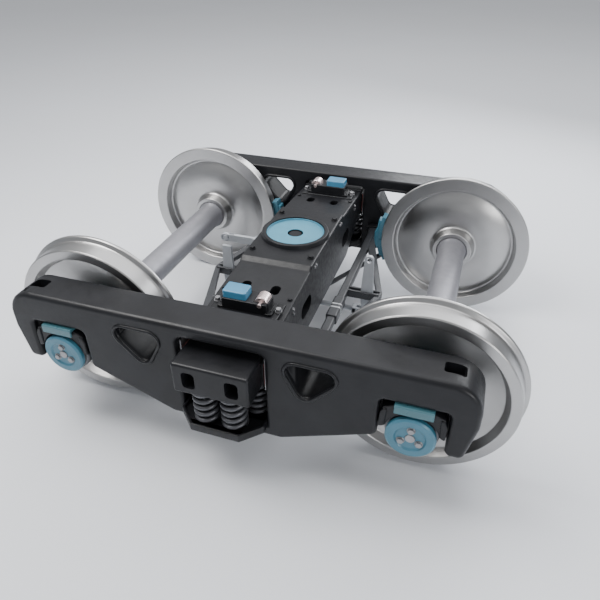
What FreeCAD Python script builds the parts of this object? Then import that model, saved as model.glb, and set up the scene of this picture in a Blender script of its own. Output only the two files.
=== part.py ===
"""Freight wagon bogie: a three-piece bogie with cast side frames and a sprung bolster.

X runs along the rails, Y across them and Z up. The origin is on the floor under the
middle of the bogie, level with the flange tips. "near" is the -Y side, "far" the +Y side,
"front" the +X wheelset and "rear" the -X wheelset.
"""
import FreeCAD, Part
import Sketcher
import math
import os

Vector = FreeCAD.Vector

# Driving sizes in mm: alias, value, what it measures
SIZES = (
    ("wheel_base", 1850, "between the axles"),
    ("journal_span", 2036, "between the bearing centres of one axle"),
    ("wheel_gauge", 1580, "between the rolling circles of one wheelset"),
    ("tread_diameter", 957, "rolling circle"),
    ("flange_height", 28, "flange tip above the tread"),
    ("flange_width", 32, "flange at its root"),
    ("rim_width", 130, "wheel rim across"),
    ("rolling_offset", 70, "rolling circle from the rim's inner face"),
    ("rim_thickness", 64, "rim in the radial direction"),
    ("plate_thickness", 25, "wheel plate"),
    ("plate_dish", 46, "how far the plate leans in from rim to hub"),
    ("hub_diameter", 272, "wheel hub"),
    ("hub_length", 185, "wheel hub along the axle"),
    ("hub_overhang", 58, "hub beyond the rim's inner face"),
    ("wheel_seat_diameter", 200, "axle in the hub"),
    ("axle_diameter", 182, "axle between the wheels"),
    ("guard_diameter", 172, "axle between hub and bearing"),
    ("journal_diameter", 140, "axle in the bearing"),
    ("bearing_diameter", 250, "bearing cup outside"),
    ("bearing_bore", 196, "bearing cup inside"),
    ("bearing_length", 176, "bearing cup along the axle"),
    ("cap_diameter", 232, "axle end cap"),
    ("cap_thickness", 30, "axle end cap"),
    ("cap_screw_circle", 96, "circle of the end cap screws"),
    ("cap_screw_size", 30, "end cap screw head across flats"),
    ("crown_thickness", 36, "adapter above the bearing"),
    ("saddle_drop", 92, "adapter skirt below the top of the bearing"),
    ("adapter_length", 206, "adapter across the track"),
    ("adapter_lug", 11, "adapter lug beyond the adapter's side"),
    ("pad_thickness", 20, "elastomer pad"),
    ("pad_width", 176, "elastomer pad along the rails"),
    ("pad_length", 232, "elastomer pad across the track"),
    ("pad_lip", 26, "down-turned lip of the pad"),
    ("pedestal_width", 290, "between the guide ribs of the pedestal legs"),
    ("guide_rib", 10, "guide rib on a pedestal leg"),
    ("guide_rib_width", 84, "guide rib across the track"),
    ("frame_overhang", 280, "side frame beyond the axle"),
    ("frame_width", 204, "side frame across the track"),
    ("frame_end_depth", 172, "side frame above the pedestal roof"),
    ("frame_corner", 150, "radius of the frame's upper corners"),
    ("frame_edge", 18, "bevel of the cast edges"),
    ("chord_depth", 74, "side frame above the bolster opening"),
    ("leg_drop", 256, "pedestal leg below the roof"),
    ("leg_tip_width", 84, "tip of the outer pedestal leg"),
    ("wall", 22, "cast wall of side frame and bolster"),
    ("opening_width", 450, "bolster opening along the rails"),
    ("bolster_clearance", 50, "free height above the bolster end"),
    ("window_width", 322, "side frame window along the rails"),
    ("window_height", 214, "side frame window"),
    ("window_corner", 44, "corner radius of the windows"),
    ("seat_depth", 456, "spring seat across the track"),
    ("seat_width", 452, "spring seat along the rails"),
    ("seat_thickness", 30, "spring seat plate"),
    ("seat_rim", 18, "rim round the spring seat"),
    ("keel_depth", 46, "lower chord below the spring seat plate"),
    ("spring_height", 215, "springs under the empty wagon"),
    ("spring_diameter", 138, "outside of a spring"),
    ("spring_wire", 25, "spring wire"),
    ("spring_pitch", 148, "between the springs of a row"),
    ("spring_row", 136, "between the rows of springs"),
    ("liner_plate", 10, "friction plate on a column"),
    ("bolster_overhang", 222, "bolster beyond the middle of a side frame"),
    ("bolster_width", 430, "bolster between the side frames"),
    ("bolster_end_width", 392, "bolster in the side frame opening"),
    ("bolster_end_depth", 175, "bolster in the side frame opening"),
    ("bolster_belly", 430, "bottom of the bolster above the floor"),
    ("bolster_shoulder", 30, "step up from the bolster end to its top plate"),
    ("platform_height", 822, "centre platform above the floor"),
    ("platform_length", 620, "centre platform across the track"),
    ("bowl_diameter", 356, "inside of the centre bowl"),
    ("bowl_rim", 30, "rim of the centre bowl across"),
    ("bowl_depth", 26, "rim of the centre bowl above its floor"),
    ("king_pin_bore", 76, "king pin hole"),
    ("liner_thickness", 5, "centre bowl liner"),
    ("liner_rim", 17, "upturned edge of the centre bowl liner"),
    ("bearing_spacing", 1524, "between the side bearings"),
    ("side_pad_drop", 36, "side bearing seats below the centre platform"),
    ("side_bearing_length", 300, "side bearing housing along the rails"),
    ("side_bearing_width", 116, "side bearing housing across the track"),
    ("side_bearing_height", 62, "side bearing housing"),
    ("side_cap_length", 128, "side bearing cap along the rails"),
    ("side_cap_rise", 38, "side bearing cap above its housing"),
    ("side_cap_travel", 16, "how far the side bearing cap is pressed in"),
    ("roller_diameter", 72, "side bearing roller"),
    ("roller_length", 70, "side bearing roller"),
    ("wedge_width", 128, "friction wedge across the track"),
    ("wedge_depth", 106, "friction wedge along the rails"),
    ("wedge_height", 150, "friction wedge"),
    ("wedge_face", 8, "lining on the friction wedge"),
    ("beam_height", 470, "brake beams above the floor"),
    ("beam_offset", 332, "brake beam bar from the middle of the bogie"),
    ("beam_bar", 52, "brake beam bar across"),
    ("beam_truss", 236, "apex of the brake beam's tie from its bar"),
    ("shoe_gap", 12, "brake shoe off the tread"),
    ("shoe_thickness", 44, "brake shoe"),
    ("shoe_width", 84, "brake shoe across the track"),
    ("shoe_length", 330, "brake shoe along the tread"),
    ("guide_height", 38, "slot of the brake beam guides"),
    ("lever_offset", 474, "brake lever pins from the middle of the bogie"),
    ("lever_upper", 250, "brake lever above its fulcrum"),
    ("lever_lower", 125, "brake lever below its fulcrum"),
    ("lever_thickness", 22, "brake levers"),
    ("lever_pin", 34, "brake lever pins"),
    ("rod_diameter", 32, "connecting rod of the brake levers"),
    ("anchor_reach", 45, "anchor pin from the bolster's web"),
    ("brace_diameter", 40, "cross brace rods"),
    ("brace_ball", 68, "ball ends of the cross brace"),
    ("brace_reach", 430, "cross brace ends from the middle of the bogie"),
    ("brace_drop", 190, "where the cross brace rods meet, below the brake beams"),
    ("running_clearance", 0.05, "radial play of a running fit"),
    ("piece_gap", 0.3, "between pieces that move past each other"),
    ("pin_play", 3, "play at the open pivot of the brake rigging"),
)

doc = FreeCAD.newDocument("Bogie")
sheet = doc.addObject("Spreadsheet::Sheet", "Sizes")


class Length:
    """A size in mm with the sheet expression that gives it."""

    def __init__(self, value, text=None):
        self.value = float(value)
        self.text = text or repr(float(value))

    def __add__(self, other):
        other = length(other)
        return Length(self.value + other.value, f"({self.text} + {other.text})")

    def __sub__(self, other):
        other = length(other)
        return Length(self.value - other.value, f"({self.text} - {other.text})")

    def __mul__(self, other):
        other = length(other)
        return Length(self.value * other.value, f"({self.text} * {other.text})")

    def __truediv__(self, other):
        other = length(other)
        return Length(self.value / other.value, f"({self.text} / {other.text})")

    def __neg__(self):
        return Length(-self.value, f"(-1 * {self.text})")

    __radd__ = __add__
    __rmul__ = __mul__

    def __rsub__(self, other):
        return length(other) - self

    def __float__(self):
        return self.value


def length(number):
    return number if isinstance(number, Length) else Length(number)


class Sheet:
    """The sheet's cells as Length attributes."""


S = Sheet()
for row, (alias, value, meaning) in enumerate(SIZES, start=1):
    sheet.set(f"A{row}", str(value))
    sheet.setAlias(f"A{row}", alias)
    sheet.set(f"B{row}", meaning)
    setattr(S, alias, Length(value, f"Sizes.{alias}"))
doc.recompute()

# Levels and places that follow from the driving sizes
wheel_radius = S.tread_diameter / 2
flange_radius = wheel_radius + S.flange_height
axle_height = flange_radius
roof = axle_height + S.bearing_diameter / 2 + S.crown_thickness + S.pad_thickness
frame_top = roof + S.frame_end_depth
opening_top = frame_top - S.chord_depth
bolster_end_top = opening_top - S.bolster_clearance
bolster_end_bottom = bolster_end_top - S.bolster_end_depth
seat_top = bolster_end_bottom - S.spring_height
frame_bottom = seat_top - S.seat_thickness - S.keel_depth
frame_line = S.journal_span / 2
frame_length = S.wheel_base + S.frame_overhang * 2
bolster_length = S.journal_span + S.bolster_overhang * 2
leg_tip = roof - S.leg_drop
rim_inner = S.wheel_gauge / 2 - S.rolling_offset
rim_outer = rim_inner + S.rim_width
hub_inner = rim_inner - S.hub_overhang
hub_outer = hub_inner + S.hub_length
bearing_inner = frame_line - S.bearing_length / 2
bearing_outer = frame_line + S.bearing_length / 2
column_face = S.opening_width / 2 - S.liner_plate
side_pad_height = S.platform_height - S.side_pad_drop
brace_height = S.beam_height - S.brace_drop
lever_bottom = S.beam_height - S.lever_lower
lever_top = S.beam_height + S.lever_upper

SIDES = (("near", -1), ("far", 1))
ENDS = (("front", 1), ("rear", -1))
parts = []


# Helpers that make a body from constrained sketches

def new_body(label):
    body = doc.addObject("PartDesign::Body", label)
    body.Label = label
    parts.append(body)
    return body


def place(shape_object, x=0, y=0, z=0):
    """Move a sub-part, with its position bound to the sheet."""
    for axis, distance in zip("xyz", (x, y, z)):
        shape_object.setExpression(f"Placement.Base.{axis}", length(distance).text)


def point_rules(geometry, position, x, y):
    """Constraints that hold a sketch point at a place given by two sizes."""
    rules = []
    for kind, size, axis in (("DistanceX", length(x), -2), ("DistanceY", length(y), -1)):
        if size.value == 0:
            rule = Sketcher.Constraint("PointOnObject", geometry, position, axis)
            rules.append((rule, None))
        else:
            rule = Sketcher.Constraint(kind, -1, 1, geometry, position, size.value)
            rules.append((rule, size))
    return rules


def apply_rules(sketch, rules):
    """Add all constraints in one step and bind their sizes to the sheet."""
    indices = sketch.addConstraint([rule for rule, size in rules])
    for index, (rule, size) in zip(indices, rules):
        if size is not None:
            sketch.setExpression(f"Constraints[{index}]", size.text)


def new_sketch(body, name, plane, offset=0):
    sketch = body.newObject("Sketcher::SketchObject", name)
    support = next(f for f in body.Origin.OriginFeatures if f.Role == plane)
    sketch.AttachmentSupport = [(support, "")]
    sketch.MapMode = "FlatFace"
    if length(offset).value:
        sketch.setExpression("AttachmentOffset.Base.z", length(offset).text)
    return sketch


def draw_outline(sketch, corners):
    """A closed outline of straight lines; a third number rounds a corner later."""
    spots = [Vector(float(c[0]), float(c[1]), 0) for c in corners]
    lines = [Part.LineSegment(spot, spots[(i + 1) % len(spots)])
             for i, spot in enumerate(spots)]
    made = sketch.addGeometry(lines, False)
    rules = []
    for i, corner in enumerate(corners):
        rules.append((Sketcher.Constraint("Coincident", made[i - 1], 2, made[i], 1), None))
        rules += point_rules(made[i], 1, corner[0], corner[1])
    apply_rules(sketch, rules)


def draw_circle(sketch, x, y, radius):
    radius = length(radius)
    made = sketch.addGeometry(
        Part.Circle(Vector(float(x), float(y), 0), Vector(0, 0, 1), radius.value), False)
    rules = [(Sketcher.Constraint("Radius", made, radius.value), radius)]
    apply_rules(sketch, rules + point_rules(made, 3, x, y))


def fillet(body, name, radius, numbers):
    """Round the numbered edges of the body's last feature."""
    base = body.Tip
    feature = body.newObject("PartDesign::Fillet", name)
    feature.Base = (base, [f"Edge{number}" for number in numbers])
    feature.Radius = float(radius)
    feature.setExpression("Radius", length(radius).text)
    return feature


def in_plane(point, plane):
    """The point's two coordinates in a sketch on the plane."""
    return {"XY_Plane": (point.x, point.y), "XZ_Plane": (point.x, point.z),
            "YZ_Plane": (point.y, point.z)}[plane]


def corner_of(edge, plane):
    """Where a straight edge square to the plane crosses it, or where a ring's section lies."""
    curve = edge.Curve
    if curve.TypeId == "Part::GeomLine":
        ends = [in_plane(edge.valueAt(t), plane) for t in edge.ParameterRange]
        same = max(abs(ends[0][i] - ends[1][i]) for i in (0, 1)) < 1e-4
        return ends[0] if same else None
    return None


def ring_of(edge, plane):
    """Place along the axis and radius of a ring about the body's turning axis."""
    curve = edge.Curve
    if curve.TypeId != "Part::GeomCircle":
        return None
    return (curve.Center.y, curve.Radius) if plane == "YZ_Plane" else \
        (curve.Radius, curve.Center.z)


def round_corners(body, name, outlines, plane, locate):
    """Round every corner that carries a radius, one fillet feature for each radius."""
    radii = {}
    for corner in (c for outline in outlines for c in outline if len(c) > 2):
        radius = length(corner[2])
        if radius.value:
            radii.setdefault(radius.text, (radius, []))[1].append(
                (float(corner[0]), float(corner[1])))
    for number, (radius, spots) in enumerate(radii.values()):
        doc.recompute()
        chosen = []
        for index, edge in enumerate(body.Tip.Shape.Edges, start=1):
            place_of = locate(edge, plane)
            if place_of and any(math.dist(place_of, spot) < 0.02 for spot in spots):
                chosen.append(index)
        fillet(body, f"{name}_corners_{number}", radius, chosen)


def extrude(body, name, plane, low, high, outlines=(), circles=(), cut=False):
    """Pad or pocket outlines between two places on the axis that the plane faces."""
    low, high = length(low), length(high)
    offset = -high if plane == "XZ_Plane" else low
    sketch = new_sketch(body, name + "_sketch", plane, offset)
    for outline in outlines:
        draw_outline(sketch, outline)
    for circle in circles:
        draw_circle(sketch, *circle)
    feature = body.newObject("PartDesign::Pocket" if cut else "PartDesign::Pad", name)
    feature.Profile = sketch
    feature.Length = float(high - low)
    feature.setExpression("Length", (high - low).text)
    feature.Reversed = cut
    round_corners(body, name, outlines, plane, corner_of)
    return feature


def turn(body, name, corners, cut=False, plane="YZ_Plane", axis="H_Axis"):
    """Revolve a half section, by default about the body's own Y axis."""
    sketch = new_sketch(body, name + "_sketch", plane)
    draw_outline(sketch, corners)
    feature = body.newObject("PartDesign::Groove" if cut else "PartDesign::Revolution", name)
    feature.Profile = sketch
    feature.ReferenceAxis = (sketch, [axis])
    feature.Angle = 360
    round_corners(body, name, [corners], plane, ring_of)
    return feature


def bevel_edges(body, name, size, wanted):
    """Chamfer the edges whose middle the test accepts."""
    doc.recompute()
    base = body.Tip
    names = []
    for number, edge in enumerate(base.Shape.Edges, start=1):
        if wanted(edge.valueAt(sum(edge.ParameterRange) / 2)):
            names.append(f"Edge{number}")
    feature = body.newObject("PartDesign::Chamfer", name)
    feature.Base = (base, names)
    feature.Size = float(size)
    feature.setExpression("Size", length(size).text)


def rectangle(x0, y0, x1, y1, radius=0):
    return [(x0, y0, radius), (x1, y0, radius), (x1, y1, radius), (x0, y1, radius)]


def mirrored(corners):
    """The same outline on the other side of the vertical axis."""
    return [(-length(c[0]), *c[1:]) for c in reversed(corners)]


def new_feature(label, shape):
    made = doc.addObject("Part::Feature", label)
    made.Label = label
    made.Shape = shape
    parts.append(made)
    return made


# Wheelsets

def add_wheel(label, x, side):
    """One-piece wheel: flange on the inside, dished plate, long hub."""
    rim_bore = wheel_radius - S.rim_thickness
    hub = S.hub_diameter / 2
    middle = rim_inner + S.rim_width / 2
    plate_top = middle + S.plate_thickness / 2
    foot = hub_inner + S.hub_length / 2
    knee = wheel_radius * 0.56
    half = [
        (hub_inner, S.wheel_seat_diameter / 2),
        (hub_inner, hub - 8),
        (foot - S.plate_thickness * 0.9, hub + 12),
        (foot - S.plate_thickness / 2 - 2, knee),
        (plate_top - S.plate_thickness, rim_bore - 14),
        (rim_inner, rim_bore + 6),
        (rim_inner, flange_radius),
        (rim_inner + S.flange_width * 0.56, flange_radius),
        (rim_inner + S.flange_width, wheel_radius + 3),
        (rim_outer - 6, wheel_radius - 3),
        (rim_outer, wheel_radius - 9),
        (rim_outer, rim_bore + 6),
        (plate_top, rim_bore - 14),
        (foot + S.plate_thickness / 2 + 2, knee),
        (foot + S.plate_thickness * 0.9, hub + 12),
        (hub_outer, hub - 8),
        (hub_outer, S.wheel_seat_diameter / 2),
    ]
    body = new_body(label)
    corners = [(side * length(c[0]), *c[1:]) for c in half]
    turn(body, label + "_turned", corners)
    place(body, x, 0, axle_height)


def add_axle(label, x):
    """Axle with wheel seats, guard seats and journals."""
    end = bearing_outer
    seat = S.wheel_seat_diameter / 2
    steps = [
        (0, S.axle_diameter / 2),
        (hub_inner - 24, S.axle_diameter / 2),
        (hub_inner, seat),
        (hub_outer + 2, seat),
        (hub_outer + 8, S.guard_diameter / 2),
        (bearing_inner - 6, S.guard_diameter / 2),
        (bearing_inner - 6, S.journal_diameter / 2),
        (end, S.journal_diameter / 2),
        (end, 0),
    ]
    outline = steps + [(-length(c[0]), c[1]) for c in reversed(steps)][:-1]
    body = new_body(label)
    turn(body, label + "_turned", outline)
    place(body, x, 0, axle_height)


def add_bearing(label_cup, x, side):
    """Bearing cup: the outer ring that the adapter sits on, with its seals."""
    body = new_body(label_cup)
    outer = S.bearing_diameter / 2
    bore = S.bearing_bore / 2
    corners = [
        (side * bearing_inner, bore), (side * bearing_inner, outer - 7),
        (side * (bearing_inner + 14), outer), (side * (bearing_outer - 14), outer),
        (side * bearing_outer, outer - 7), (side * bearing_outer, bore),
    ]
    turn(body, label_cup + "_turned", corners)
    place(body, x, 0, axle_height)


def inner_ring_section(side):
    """Cones, rollers and wear rings turn as one ring inside the cup."""
    bore = S.journal_diameter / 2
    roll = S.bearing_bore / 2 - S.running_clearance
    return [
        (side * (bearing_inner - 6), bore), (side * (bearing_inner - 6), roll),
        (side * bearing_outer, roll), (side * bearing_outer, bore),
    ]


def add_inner_rings(label, x):
    body = new_body(label)
    for name, side in SIDES:
        body_feature = turn(body, f"{label}_{name}", inner_ring_section(side))
        body_feature.Refine = False
    place(body, x, 0, axle_height)
    return body


def add_end_cap(label, x, side):
    """End cap with a raised ring and a sunk middle for the screws."""
    body = new_body(label)
    back = bearing_outer
    front = back + S.cap_thickness
    radius = S.cap_diameter / 2
    ring = S.cap_screw_circle / 2 + S.cap_screw_size / 2 + 4
    corners = [
        (side * (back + S.piece_gap), 0), (side * (back + S.piece_gap), radius),
        (side * (front - 9), radius), (side * front, radius - 9), (side * front, ring),
        (side * (front - 8), ring), (side * (front - 8), 0),
    ]
    turn(body, label + "_turned", corners)
    place(body, x, 0, axle_height)


def hexagon(x, y, across):
    """Corners of a hexagon given its width across flats."""
    reach = across / math.sqrt(3)
    return [(x + reach * math.cos(math.radians(60 * i)),
             y + reach * math.sin(math.radians(60 * i))) for i in range(6)]


def add_cap_screws(label, x):
    """Three hexagon heads on each end of one axle."""
    heads = []
    for name, side in SIDES:
        front = side * float(bearing_outer + S.cap_thickness - 8)
        for i in range(3):
            angle = math.radians(90 + 120 * i)
            spot = float(S.cap_screw_circle) / 2
            corners = hexagon(spot * math.cos(angle), spot * math.sin(angle),
                              float(S.cap_screw_size))
            points = [Vector(cx, front, cz) for cx, cz in corners]
            face = Part.Face(Part.makePolygon(points + points[:1]))
            heads.append(face.extrude(Vector(0, side * 14, 0)))
    made = new_feature(label, Part.Compound(heads))
    place(made, x, 0, axle_height)


# Adapters and pads

def add_adapter(label, x, side):
    """Saddle on the bearing, with four lugs that straddle the pedestal guide ribs."""
    body = new_body(label)
    half = S.pedestal_width / 2 - 6
    top = S.bearing_diameter / 2 + S.crown_thickness
    skirt = S.bearing_diameter / 2 - S.saddle_drop
    shoulder = top - 20
    section = [
        (-half, skirt), (-half, shoulder), (-S.pad_width / 2 - 4, top),
        (S.pad_width / 2 + 4, top), (half, shoulder), (half, skirt),
    ]
    reach = S.adapter_length / 2
    extrude(body, label + "_block", "XZ_Plane", -reach, reach, [section])
    lug_foot = skirt - 12
    rib = S.guide_rib_width / 2 + 3
    for number, (low, high) in enumerate(((-reach, -rib), (rib, reach))):
        lug = [
            (-half - S.adapter_lug, lug_foot), (-half - S.adapter_lug, shoulder - 34),
            (-half + 6, shoulder - 4), (half - 6, shoulder - 4),
            (half + S.adapter_lug, shoulder - 34), (half + S.adapter_lug, lug_foot),
            (half - 10, skirt + 2), (-half + 10, skirt + 2),
        ]
        extrude(body, f"{label}_lugs_{number}", "XZ_Plane", low, high, [lug])
    extrude(body, label + "_saddle", "XZ_Plane", -reach - 1, reach + 1,
            circles=[(0, 0, S.bearing_diameter / 2)], cut=True)
    place(body, x, side * frame_line, axle_height)


def add_pad(label, x, side):
    """Elastomer pad with lips turned down over both ends of the adapter."""
    body = new_body(label)
    low = S.bearing_diameter / 2 + S.crown_thickness
    top = low + S.pad_thickness
    reach = S.pad_length / 2
    inner = S.adapter_length / 2 + 0.3
    section = [
        (-reach, low - S.pad_lip), (-reach, top, 9), (reach, top, 9),
        (reach, low - S.pad_lip), (inner, low - S.pad_lip), (inner, low),
        (-inner, low), (-inner, low - S.pad_lip),
    ]
    half = S.pad_width / 2
    extrude(body, label + "_block", "YZ_Plane", -half, half, [section])
    place(body, x, side * frame_line, axle_height)


# Side frames

def frame_outline():
    axle = S.wheel_base / 2
    jaw = S.pedestal_width / 2 + S.guide_rib
    outer = axle + jaw
    inner = axle - jaw
    end = frame_length / 2
    right = [
        (end, frame_top, S.frame_corner),
        (end, leg_tip + 200, 90),
        (outer + S.leg_tip_width, leg_tip, 34),
        (outer, leg_tip, 34),
        (outer, roof, 26),
        (inner, roof, 26),
        (inner, leg_tip + 26, 36),
        (S.opening_width / 2 + 76, frame_bottom, 80),
    ]
    return right + mirrored(right)


def window(sign):
    """Rounded triangle with its apex down."""
    left = S.opening_width / 2 + 78
    top = opening_top - 12
    corners = [
        (left, top, S.window_corner),
        (left + S.window_width, top, S.window_corner),
        (left + S.window_width * 0.34, top - S.window_height, S.window_corner),
    ]
    return corners if sign > 0 else mirrored(corners)


def octagon(half_x, half_y, cut):
    return [
        (-half_x + cut, -half_y), (half_x - cut, -half_y), (half_x, -half_y + cut),
        (half_x, half_y - cut), (half_x - cut, half_y), (-half_x + cut, half_y),
        (-half_x, half_y - cut), (-half_x, -half_y + cut),
    ]


def spring_places():
    """Rows of two, three and two springs."""
    row = float(S.spring_row)
    pitch = float(S.spring_pitch)
    return [(-pitch / 2, -row), (pitch / 2, -row), (-pitch, 0), (0, 0), (pitch, 0),
            (-pitch / 2, row), (pitch / 2, row)]


def add_side_frame(label, side):
    """Cast side frame with pedestals, windows, bolster opening and spring seat."""
    body = new_body(label)
    reach = S.frame_width / 2
    inward = -side
    extrude(body, label + "_web", "XZ_Plane", -reach, reach, [frame_outline()])
    bevel_edges(body, label + "_cast_edges", S.frame_edge,
                lambda middle: abs(abs(middle.y) - float(reach)) < 0.01
                and abs(middle.z - float(frame_top)) < 0.01)

    # the spring seat, wider than the frame, with a rim and bosses
    cut = 96
    half_x = S.seat_width / 2
    half_y = S.seat_depth / 2
    extrude(body, label + "_seat", "XY_Plane", seat_top - S.seat_thickness, seat_top + S.seat_rim,
            [octagon(half_x, half_y, cut)])
    for name, flat in (("a", -1), ("b", 1)):
        low = reach - 4 if flat > 0 else -half_y + 40
        high = half_y - 40 if flat > 0 else -reach + 4
        gusset = [(-half_x + 110, seat_top - S.seat_thickness + 2),
                  (half_x - 110, seat_top - S.seat_thickness + 2),
                  (half_x - 150, frame_bottom + 12), (-half_x + 150, frame_bottom + 12)]
        extrude(body, f"{label}_gusset_{name}", "XZ_Plane", low, high, [gusset])
    extrude(body, label + "_seat_floor", "XY_Plane", seat_top, seat_top + S.seat_rim + 1,
            [octagon(half_x - 14, half_y - 14, cut - 8)], cut=True)

    # openings that go right through
    half = S.opening_width / 2
    opening = [(-half, seat_top, 0), (half, seat_top, 0), (half, opening_top, 30),
               (-half, opening_top, 30)]
    extrude(body, label + "_opening", "XZ_Plane", -reach - 1, reach + 1, [opening], cut=True)
    extrude(body, label + "_windows", "XZ_Plane", -reach - 1, reach + 1,
            [window(1), window(-1)], cut=True)

    # bosses that hold the springs in place
    extrude(body, label + "_bosses", "XY_Plane", seat_top, seat_top + 14,
            circles=[(x, y, S.spring_diameter / 2 - S.spring_wire - 6)
                     for x, y in spring_places()])

    # guide ribs in the pedestals
    jaw = S.pedestal_width / 2
    ribs = []
    for sign in (-1, 1):
        axle = sign * (S.wheel_base / 2)
        ribs.append(rectangle(axle - jaw - S.guide_rib - 8, leg_tip + 60, axle - jaw, roof - 20))
        ribs.append(rectangle(axle + jaw, leg_tip + 60, axle + jaw + S.guide_rib + 8, roof - 20))
    extrude(body, label + "_guide_ribs", "XZ_Plane", -S.guide_rib_width / 2,
            S.guide_rib_width / 2, ribs)

    # the casting is open on its inner side at the legs and below the windows
    outer = S.wheel_base / 2 + jaw + S.guide_rib
    inner = S.wheel_base / 2 - jaw - S.guide_rib
    leg = [(outer + S.wall + 6, leg_tip + 44), (outer + S.leg_tip_width - 16, leg_tip + 60),
           (frame_length / 2 - S.wall - 14, roof - 60), (outer + S.wall + 6, roof - 20)]
    chord = [(S.opening_width / 2 + 130, frame_bottom + 84, 14),
             (inner - 34, leg_tip + 66, 14), (inner - 34, roof - 90, 20),
             (inner - 96, roof - 90, 14), (S.opening_width / 2 + 130, frame_bottom + 160, 14)]
    low = -reach - 1 if inward < 0 else -reach + S.wall * 2
    high = reach - S.wall * 2 if inward < 0 else reach + 1
    extrude(body, label + "_cores", "XZ_Plane", low, high,
            [leg, mirrored(leg), chord, mirrored(chord)], cut=True)

    # core slots in the top of both ends
    slot_x = frame_length / 2 - S.frame_corner - 40
    slot = rectangle(slot_x, -26, slot_x + 96, 46, 8) if inward > 0 else \
        rectangle(slot_x, -46, slot_x + 96, 26, 8)
    extrude(body, label + "_core_slots", "XY_Plane", frame_top - 60, frame_top + 1,
            [slot, mirrored(slot)], cut=True)

    # brackets on the inner face: beam guides above, cross brace feet below
    wall_y = reach - 6
    guide_out = reach + 46
    guides = []
    for sign in (-1, 1):
        spot = sign * S.beam_offset
        guides.append(rectangle(spot - 58, S.beam_height - S.guide_height / 2 - 14,
                                spot + 58, S.beam_height + S.guide_height / 2 + 14))
    y0, y1 = (wall_y, guide_out) if inward > 0 else (-guide_out, -wall_y)
    extrude(body, label + "_beam_guides", "XZ_Plane", y0, y1, guides)
    slots = []
    for sign in (-1, 1):
        spot = sign * S.beam_offset
        slots.append(rectangle(spot - 60, S.beam_height - S.guide_height / 2,
                               spot + 60, S.beam_height + S.guide_height / 2))
    y0, y1 = (reach + 2, guide_out + 1) if inward > 0 else (-guide_out - 1, -reach - 2)
    extrude(body, label + "_guide_slots", "XZ_Plane", y0, y1, slots, cut=True)
    feet = []
    for sign in (-1, 1):
        spot = sign * S.brace_reach
        feet.append([(spot - 46, brace_height - 34, 10), (spot + 46, brace_height - 34, 10),
                     (spot + 62, brace_height + 90), (spot - 62, brace_height + 90)])
    y0, y1 = (reach - 60, reach - 12) if inward > 0 else (12 - reach, 60 - reach)
    extrude(body, label + "_brace_feet", "XZ_Plane", y0, y1, feet)
    place(body, 0, side * frame_line, 0)


def add_wear_plates(label):
    """Friction plates bolted to the four columns."""
    plates = []
    for side_name, side in SIDES:
        for sign in (-1, 1):
            low = float(column_face)
            x = low if sign > 0 else -low - float(S.liner_plate)
            y = side * float(frame_line) - float(S.wedge_width) / 2 - 8
            plates.append(Part.makeBox(float(S.liner_plate), float(S.wedge_width) + 16,
                                       float(opening_top - bolster_end_bottom) - 24,
                                       Vector(x, y, float(bolster_end_bottom) - 10)))
    new_feature(label, Part.Compound(plates))


# Springs

def spring_solid(x, y):
    """One coil: a square bar wound up, with flat facets."""
    wire = float(S.spring_wire)
    radius = float(S.spring_diameter) / 2 - wire / 2
    height = float(S.spring_height) - 2 * float(S.piece_gap)
    turns, per_turn = 4.75, 8
    steps = int(turns * per_turn)
    bottom = float(seat_top) + float(S.piece_gap)
    rise = height - wire
    rings = []
    for i in range(steps + 1):
        angle = 2 * math.pi * i / per_turn
        share = i / steps
        level = bottom + wire / 2 + rise * share
        out = Vector(math.cos(angle), math.sin(angle), 0)
        centre = Vector(x, y, level) + out * radius
        rings.append([centre + out * (wire / 2), centre + Vector(0, 0, wire / 2),
                      centre - out * (wire / 2), centre - Vector(0, 0, wire / 2)])
    faces = [Part.Face(Part.makePolygon(rings[0] + rings[0][:1])),
             Part.Face(Part.makePolygon(rings[-1] + rings[-1][:1]))]
    for here, there in zip(rings, rings[1:]):
        for i in range(4):
            j = (i + 1) % 4
            for triple in ((here[i], here[j], there[j]), (here[i], there[j], there[i])):
                faces.append(Part.Face(Part.makePolygon(list(triple) + [triple[0]])))
    solid = Part.Solid(Part.Shell(faces))
    if solid.Volume < 0:
        solid.reverse()
    return solid


def add_springs(label, side):
    coils = [spring_solid(x, side * float(frame_line) + y) for x, y in spring_places()]
    new_feature(label, Part.Compound(coils))


# Bolster with its bearings and wedges

def wedge_outline(sign):
    """Side view of a friction wedge: upright face to the column, sloped back."""
    face = column_face - S.piece_gap
    low = bolster_end_bottom
    corners = [
        (face - S.wedge_face, low), (face - S.wedge_face, low + S.wedge_height),
        (face - S.wedge_face - 18, low + S.wedge_height),
        (face - S.wedge_depth, low + 34), (face - S.wedge_depth, low),
    ]
    return corners if sign > 0 else mirrored(corners)


def pocket_outline(sign):
    """Pocket in the bolster end for a friction wedge."""
    face = column_face - S.piece_gap
    low = bolster_end_bottom
    corners = [
        (face + 10, low - 1), (face + 10, low + S.wedge_height + 1.5),
        (face - S.wedge_face - 18.5, low + S.wedge_height + 1.5),
        (face - S.wedge_depth - 0.5, low + 34), (face - S.wedge_depth - 0.5, low - 1),
    ]
    return corners if sign > 0 else mirrored(corners)


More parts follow.
